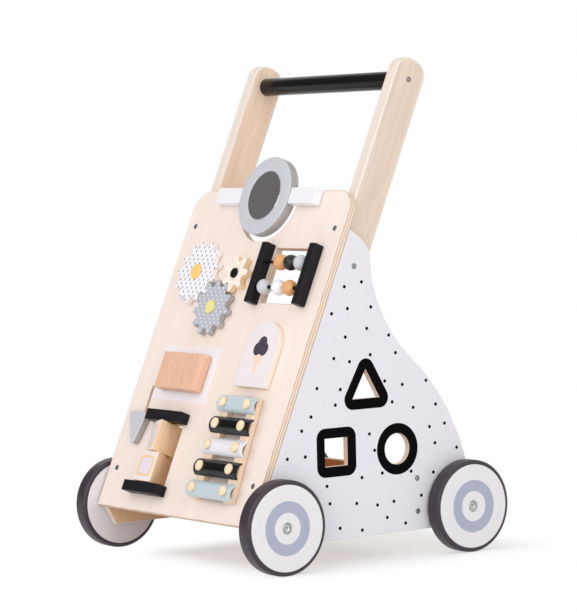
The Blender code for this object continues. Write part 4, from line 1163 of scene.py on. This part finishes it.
class CART_OT_glued_pieces(Operator):
    """Beech block and arched plate, glued to the board"""
    bl_idname = "cart.glued_pieces"
    bl_label = "Block and arched plate"

    def execute(self, context):
        sizes = given(context)
        set_bar("glued_block", "beech_block", "steamed", sizes.block_rim)
        mesh = sawn("arch_plate", BOARD, sizes.piece_rim, self.scoop(), painted=True)
        finishes = ["arch", "arch_edge", "birch", "cone", "scoop"]
        set_piece("arched_plate", mesh, finishes, "cart", ["arch_plate"])
        return {"FINISHED"}

    def scoop(self):
        """Plain scoop on a cone, drawn with a triangle and three circles in the middle of the plate."""
        low, high = extent("arch_plate", BOARD)
        half, tip, ball = 9 * MM, 28 * MM, 7.5 * MM
        brim = Vector(((low.x + high.x) / 2, low.y + 38 * MM))
        cone = [brim + Vector(corner) for corner in ((-half, 0), (0, -tip), (half, 0))]
        ways = ((-0.7, 0.6), (0.7, 0.6), (0, 1.5))   # from the brim to each lump, in lumps' radii
        lumps = [brim + Vector(way) * ball for way in ways]
        return [(PRINT, cone), *((SECOND_PRINT, circle(lump, ball)) for lump in lumps)]


class CART_OT_xylophone(Operator):
    """Five arched metal bars over two rails, held by pegs with a domed head and a collar"""
    bl_idname = "cart.xylophone"
    bl_label = "Xylophone"

    def execute(self, context):
        sizes = given(context)
        kinds = ("blue_bar", "black_bar", "white_bar", "black_bar", "blue_bar")
        slots = {"blue_bar": "light_blue_metal", "black_bar": "black_metal", "white_bar": "white_metal"}
        spots = []
        for number, kind in enumerate(kinds, 1):
            spots += self.bar(f"xylophone_bar_{number}", kind, slots[kind], sizes)
        for side, hand in SIDES:
            self.rail(f"{hand}_xylophone_rail", side, sizes)
        head, dome, edge, steps = sizes.peg_head / 2, 2.3 * MM, 1.5 * MM, 8
        shank, collar, under, reach = 2.3 * MM, 4.2 * MM, 2.0 * MM, 8.5 * MM
        turns = [math.pi / 2 * i / steps for i in range(steps + 1)]
        profile = [(head * math.sin(a), edge + dome * math.cos(a)) for a in turns]
        profile += [(head, SEAT_GAP), (shank, SEAT_GAP), (shank, -under), (collar, -under)]
        profile += [(collar, -reach), (0, -reach)]
        shape = turned(profile, Matrix.Identity(4), SMALL_ROUND)
        mesh = set_on_points(spots, [OUT_OF_BOARD] * len(spots), shape, LOOKS["peg"], math.pi)
        set_piece("xylophone_pegs", mesh, ["peg"], "cart")
        return {"FINISHED"}

    def bar(self, name, finish, slot, sizes):
        """One bar of bent sheet, with painted shade on its hollow side; the places of its two pegs."""
        low, high = extent(name, BOARD)
        space = frame_of(BOARD @ ((low + high) / 2), UP_SLOPE, OUT_OF_BOARD)
        low, high = extent(name, space)
        sheet, steps, facing_in = 1.6 * MM, 24, 0.2
        rise, crest = sizes.bar_rise, high.y - sizes.bar_drop
        radius = (high.x ** 2 + rise ** 2) / (2 * rise)
        inner = radius - sheet
        sweeps = ((radius, math.asin(high.x / radius)), (inner, -math.acos((radius - rise) / inner)))
        section = []
        for size, sweep in sweeps:
            for i in range(steps + 1):
                angle = sweep * (2 * i / steps - 1)
                section.append(Vector((-size * math.sin(angle), crest - radius + size * math.cos(angle))))
        mesh = plate([section], low.z, high.z, SEAT_GAP, space)
        # painted shade: faces that look into the board, under the arch, wear the near-black hollow finish
        for face in mesh.polygons:
            if face.normal.dot(OUT_OF_BOARD) < -facing_in:
                face.material_index = PRINT
        set_piece(f"{name}_arch", mesh, [finish] * 3 + ["bar_inside"], "cart", [name])
        ends = (low.z + sizes.peg_inset, high.z - sizes.peg_inset)
        return [space @ Vector((0, crest, end)) for end in ends]

    def rail(self, name, side, sizes):
        """One rail under the bars, from the corners of its CAD node's foot."""
        seen = BOARD.inverted()
        points = [seen @ vertex.co for vertex in NODES[name].data.vertices]
        low = min(point.z for point in points)
        foot = [point.xy for point in points if point.z < low + SEAT_GAP]
        levels = (min(point.y for point in foot), max(point.y for point in foot))
        end_zone, corners = 3 * MM, []
        for level, order in zip(levels, (1, -1)):
            near = [point for point in foot if abs(point.y - level) < end_zone]
            pair = [min(near, key=lambda point: point.x), max(near, key=lambda point: point.x)]
            outer = pair[0] if side < 0 else pair[1]
            outer.x -= side * sizes.rail_inset
            corners += pair[::order]
        top = extent("xylophone_bar_1", BOARD)[1].z - sizes.bar_drop - sizes.bar_rise - SEAT_GAP
        mesh = plate([rounded(corners, sizes.soft_rim)], low, top, sizes.soft_rim, BOARD)
        set_piece(f"{name}_strip", mesh, ["rail"] * 3, "cart", [name])


def points_tree():
    """Geometry Nodes tree that sets one shape on every point, facing out of its surface."""
    tree = bpy.data.node_groups.new("set_on_points", "GeometryNodeTree")
    sockets = {
        "Points": "Geometry", "Shape": "Object", "Greatest turn": "Float", "Seed": "Int",
        "Finish": "Material",
    }
    for name, kind in sockets.items():
        tree.interface.new_socket(name, in_out="INPUT", socket_type=f"NodeSocket{kind}")
    tree.interface.new_socket("Pieces", in_out="OUTPUT", socket_type="NodeSocketGeometry")
    given_in = add(tree, "NodeGroupInput").outputs
    facing = add(tree, "GeometryNodeInputNamedAttribute", {"Name": "facing"}, data_type="FLOAT_VECTOR")
    aim = add(tree, "FunctionNodeAlignRotationToVector", {"Vector": facing}, axis="Z")
    chance = add(
        tree, "FunctionNodeRandomValue", {"Max": given_in["Greatest turn"], "Seed": given_in["Seed"]},
        data_type="FLOAT",
    )
    twist = add(tree, "FunctionNodeAxisAngleToRotation", {"Angle": chance})
    turn = add(tree, "FunctionNodeRotateRotation", {0: aim, 1: twist}, rotation_space="LOCAL")
    shape = add(tree, "GeometryNodeObjectInfo", {"Object": given_in["Shape"], "As Instance": True})
    set_down = add(tree, "GeometryNodeInstanceOnPoints", {
        "Points": given_in["Points"], "Instance": shape.outputs["Geometry"], "Rotation": turn,
    })
    plain = add(tree, "GeometryNodeRealizeInstances", {"Geometry": set_down})
    worn = add(tree, "GeometryNodeSetMaterial", {"Geometry": plain, "Material": given_in["Finish"]})
    add(tree, "NodeGroupOutput", {"Pieces": worn})
    return tree


def set_on_points(spots, facings, shape, finish, greatest_turn):
    """Plain mesh of one shape set on every spot by the Geometry Nodes tree."""
    mesh = bpy.data.meshes.new("spots")
    mesh.from_pydata(spots, [], [])
    facing = mesh.attributes.new("facing", "FLOAT_VECTOR", "POINT")
    facing.data.foreach_set("vector", [value for way in facings for value in way])
    holder, model = shown("holder", mesh), shown("model", shape)
    tree = bpy.data.node_groups.get("set_on_points") or points_tree()
    change = holder.modifiers.new("set_on_points", "NODES")
    change.node_group = tree
    values = {"Shape": model, "Greatest turn": greatest_turn, "Seed": TURN_SEED, "Finish": finish}
    for item in tree.interface.items_tree:
        if item.item_type == "SOCKET" and item.name in values:
            change[item.identifier] = values[item.name]
    return applied(holder, model)


class CART_OT_screws(Operator):
    """Countersunk screws in the boards and uprights"""
    bl_idname = "cart.screws"
    bl_label = "Screws"

    def execute(self, context):
        sizes = given(context)
        face = Z * extent("front_board", BOARD)[1].z
        spots = [BOARD @ (screw + face) for screw in BOARD_SCREWS]
        facings = [OUT_OF_BOARD] * len(spots)
        low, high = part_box("handle_bar")
        handle = (low + high) / 2
        board = extent("right_side_board", side_frame(1))[1].z
        upright = extent("right_upright", upright_frame(1))[1].z
        for side, _ in SIDES:
            spots += [X * side * board + screw for screw in SIDE_SCREWS]
            spots.append(Vector((side * upright, handle.y, handle.z)))
            facings += [X * side] * (len(SIDE_SCREWS) + 1)
        radius, proud = sizes.screw / 2, 0.5 * MM
        flat, bevel, foot, sunk = 0.75 * radius, 0.95 * radius, 0.6 * radius, -0.4 * radius
        profile = [(0, proud), (flat, proud), (bevel, 0.4 * proud), (radius, 0), (foot, sunk), (0, sunk)]
        plain = turned(profile, Matrix.Identity(4), SMALL_ROUND)
        shape = cut(plain, self.cross(radius, proud))
        mesh = set_on_points(spots, facings, shape, LOOKS["zinc"], math.pi / 2)
        set_piece("countersunk_screws", mesh, ["zinc"], "cart")
        return {"FINISHED"}

    def cross(self, radius, top):
        """Cutter for the cross in a screw head."""
        long, short, depth = 0.72 * radius, 0.22 * radius, 0.7 * top
        arm = [Vector((long, -short)), Vector((long, short)), Vector((short, short))]
        outline = [Matrix.Rotation(math.pi / 2 * i, 2) @ corner for i in range(4) for corner in arm]
        return plate([outline], top - depth, top + depth, 0.2 * short, Matrix.Identity(4))


class CART_OT_hidden_pins(Operator):
    """Plated steel on the CAD pins that stay as they are"""
    bl_idname = "cart.hidden_pins"
    bl_label = "Hidden pins"

    def execute(self, context):
        given(context)
        for name in ("left_mirror_pin", "right_mirror_pin", "flip_rod", "slider_pin"):
            for slot in NODES[name].material_slots:
                slot.material = LOOKS["hidden_zinc"]
        return {"FINISHED"}


IMAGE_WIDTH = 577
SENSOR = 36                                     # sensor's width in millimetres
PIXEL_LENS = 2832.65                            # focal length in pixels
CAMERA_PLACE = Vector((2.5126, -1.8274, 0.4374))
CAMERA_RIGHT = Vector((0.5892, 0.8080, 0.0))
CAMERA_BACK = Vector((0.8068, -0.5883, 0.0544))
CAMERA_ROLL = math.radians(-1.4)
LAMPS = (                                       # name, place, size in metres, power in watts
    ("key", Vector((-0.9, -2.4, 2.4)), 2.4, 22),
    ("front", Vector((1.5, -2.5, 0.9)), 2.0, 19.5),
    ("side", Vector((3.0, -0.4, 1.7)), 2.4, 31),
)
LAMP_AIM = Vector((0, 0, 0.25))
FILL = 0.62                                     # strength of the even light from all round
DARK_SIDE = Vector((-0.807, -0.443, 0.392))     # way to the unlit side of the room
DARK_START, DARK_FULL = 0.79, 0.906             # cosines from that way, where it starts and is full
DARK_LEVEL = 0.19                               # brightness of that side in gloss
FLOOR_HALF = 8.0                                # half the floor's side
FLOOR_LIGHT = (0.92, 0.92, 0.92)                # floor's colour in the light that it throws back
SHADOW_MIDDLE = Vector((0.05, 0.04, 0.0))       # middle of the shadowed ground under the cart
SHADOW_HALF = Vector((0.10, 0.13, 0.0))         # half its size
SHADOW_WHITE = 0.55                             # share of plain white in that ground
FLOOR_FADE = 0.08                               # the floor runs out into plain white within this distance


class CART_OT_stage(Operator):
    """Pale floor, soft studio light and the camera"""
    bl_idname = "cart.stage"
    bl_label = "Stage"

    def execute(self, context):
        context.scene.view_settings.view_transform = "Standard"
        self.floor()
        context.scene.world = self.world()
        for lamp in LAMPS:
            self.lamp(*lamp)
        context.scene.camera = self.camera()
        return {"FINISHED"}

    def floor(self):
        """White floor that keeps the cart's shadow and runs out into plain white."""
        shape = bmesh.new()
        bmesh.ops.create_grid(shape, x_segments=1, y_segments=1, size=FLOOR_HALF)
        mesh = mesh_of(shape)
        floor = shown("floor", mesh)
        floor.location.z = CAD_BOX[0][2]
        material = bpy.data.materials.new("matt_white_floor")
        material.use_nodes = True
        tree = material.node_tree
        tree.nodes.clear()
        place = add(tree, "ShaderNodeTexCoord").outputs["Object"]
        aside = add(tree, "ShaderNodeVectorMath", {0: place, 1: SHADOW_MIDDLE}, operation="SUBTRACT")
        aside = add(tree, "ShaderNodeVectorMath", {0: aside}, operation="ABSOLUTE")
        beyond = add(tree, "ShaderNodeVectorMath", {0: aside, 1: SHADOW_HALF}, operation="SUBTRACT")
        beyond = add(tree, "ShaderNodeVectorMath", {0: beyond, 1: (0, 0, 0)}, operation="MAXIMUM")
        away = add(tree, "ShaderNodeVectorMath", {0: beyond}, operation="LENGTH")
        ray = add(tree, "ShaderNodeLightPath").outputs
        rays = {0: ray["Is Camera Ray"], 1: ray["Is Glossy Ray"]}
        seen = add(tree, "ShaderNodeMath", rays, operation="MAXIMUM")
        limits = {"From Max": FLOOR_FADE, "To Min": SHADOW_WHITE, "To Max": 1.0}
        far = add(tree, "ShaderNodeMapRange", {"Value": away, **limits}, interpolation_type="SMOOTHSTEP")
        clear = add(tree, "ShaderNodeMath", {0: seen, 1: far}, operation="MULTIPLY")
        sides = {"Factor": seen, "A": FLOOR_LIGHT, "B": (1, 1, 1)}
        shade = add(tree, "ShaderNodeMix", sides, data_type="RGBA")
        paint = add(tree, "ShaderNodeBsdfDiffuse", {"Color": shade})
        white = add(tree, "ShaderNodeEmission", {"Strength": 1.0})
        both = add(tree, "ShaderNodeMixShader", {0: clear, 1: paint, 2: white})
        add(tree, "ShaderNodeOutputMaterial", {"Surface": both})
        mesh.materials.append(material)

    def world(self):
        """Even fill light; gloss sees a white surround with one unlit side, which keeps blacks black."""
        world = bpy.data.worlds.new("studio")
        world.use_nodes = True
        tree = world.node_tree
        tree.nodes.clear()
        ray = add(tree, "ShaderNodeLightPath").outputs
        way = add(tree, "ShaderNodeTexCoord").outputs["Generated"]
        towards = add(tree, "ShaderNodeVectorMath", {0: way, 1: DARK_SIDE}, operation="DOT_PRODUCT")
        limits = {"From Min": DARK_START, "From Max": DARK_FULL, "To Min": 1.0, "To Max": DARK_LEVEL}
        unlit = add(
            tree, "ShaderNodeMapRange", {"Value": towards, **limits}, interpolation_type="SMOOTHSTEP"
        )
        rays = {0: ray["Is Camera Ray"], 1: ray["Is Transmission Ray"]}
        plain = add(tree, "ShaderNodeMath", rays, operation="MAXIMUM")
        limits = {"To Min": FILL, "To Max": unlit}
        level = add(tree, "ShaderNodeMapRange", {"Value": ray["Is Glossy Ray"], **limits})
        strength = add(tree, "ShaderNodeMapRange", {"Value": plain, "To Min": level, "To Max": 1.0})
        light = add(tree, "ShaderNodeBackground", {"Color": (1, 1, 1), "Strength": strength})
        add(tree, "ShaderNodeOutputWorld", {"Surface": light})
        return world

    def lamp(self, name, place, size, power):
        """Large soft lamp that faces the cart."""
        light = bpy.data.lights.new(name, "AREA")
        light.size = size
        light.energy = power
        lamp = shown(name, light)
        lamp.location = place
        lamp.rotation_euler = (LAMP_AIM - place).to_track_quat("-Z", "Y").to_euler()

    def camera(self):
        """Camera at the photograph's angle and distance."""
        back = CAMERA_BACK.normalized()
        up = back.cross(CAMERA_RIGHT).normalized()
        turn = Matrix((up.cross(back), up, back)).transposed() @ Matrix.Rotation(CAMERA_ROLL, 3, "Z")
        data = bpy.data.cameras.new("camera")
        data.sensor_fit = "HORIZONTAL"
        data.sensor_width = SENSOR
        data.lens = PIXEL_LENS * SENSOR / IMAGE_WIDTH
        camera = shown("camera", data)
        camera.matrix_world = Matrix.Translation(CAMERA_PLACE) @ turn.to_4x4()
        return camera


OPERATORS = (
    CART_OT_sloping_board, CART_OT_side_boards, CART_OT_uprights, CART_OT_bin, CART_OT_wheels,
    CART_OT_mirror, CART_OT_gears, CART_OT_abacus, CART_OT_turning_blocks, CART_OT_slider,
    CART_OT_glued_pieces, CART_OT_xylophone, CART_OT_screws, CART_OT_hidden_pins, CART_OT_stage,
)


class CART_PT_panel(Panel):
    """Sidebar panel with the cart's pieces"""
    bl_label = "Toy hand cart"
    bl_idname = "CART_PT_panel"
    bl_space_type = "VIEW_3D"
    bl_region_type = "UI"
    bl_category = "Cart"

    def draw(self, context):
        for operator in OPERATORS:
            self.layout.operator(operator.bl_idname)
        for group in (context.scene.cart_sizes, context.scene.cart_colours):
            for name in group.bl_rna.properties.keys():
                if name not in ("rna_type", "name"):
                    self.layout.prop(group, name)


CLASSES = (CartSizes, CartColours, *OPERATORS, CART_PT_panel)


def register():
    """Add the classes and the scene's cart settings."""
    for kind in CLASSES:
        bpy.utils.register_class(kind)
    bpy.types.Scene.cart_sizes = PointerProperty(type=CartSizes)
    bpy.types.Scene.cart_colours = PointerProperty(type=CartColours)


def unregister():
    """Take them out again."""
    del bpy.types.Scene.cart_colours
    del bpy.types.Scene.cart_sizes
    for kind in reversed(CLASSES):
        bpy.utils.unregister_class(kind)


def main():
    """Build the whole cart."""
    for name in ("Cube", "Light", "Camera"):
        if name in bpy.data.objects:
            bpy.data.objects.remove(bpy.data.objects[name])
    register()
    for operator in OPERATORS:
        group, name = operator.bl_idname.split(".")
        getattr(getattr(bpy.ops, group), name)()


if __name__ == "__main__":
    main()
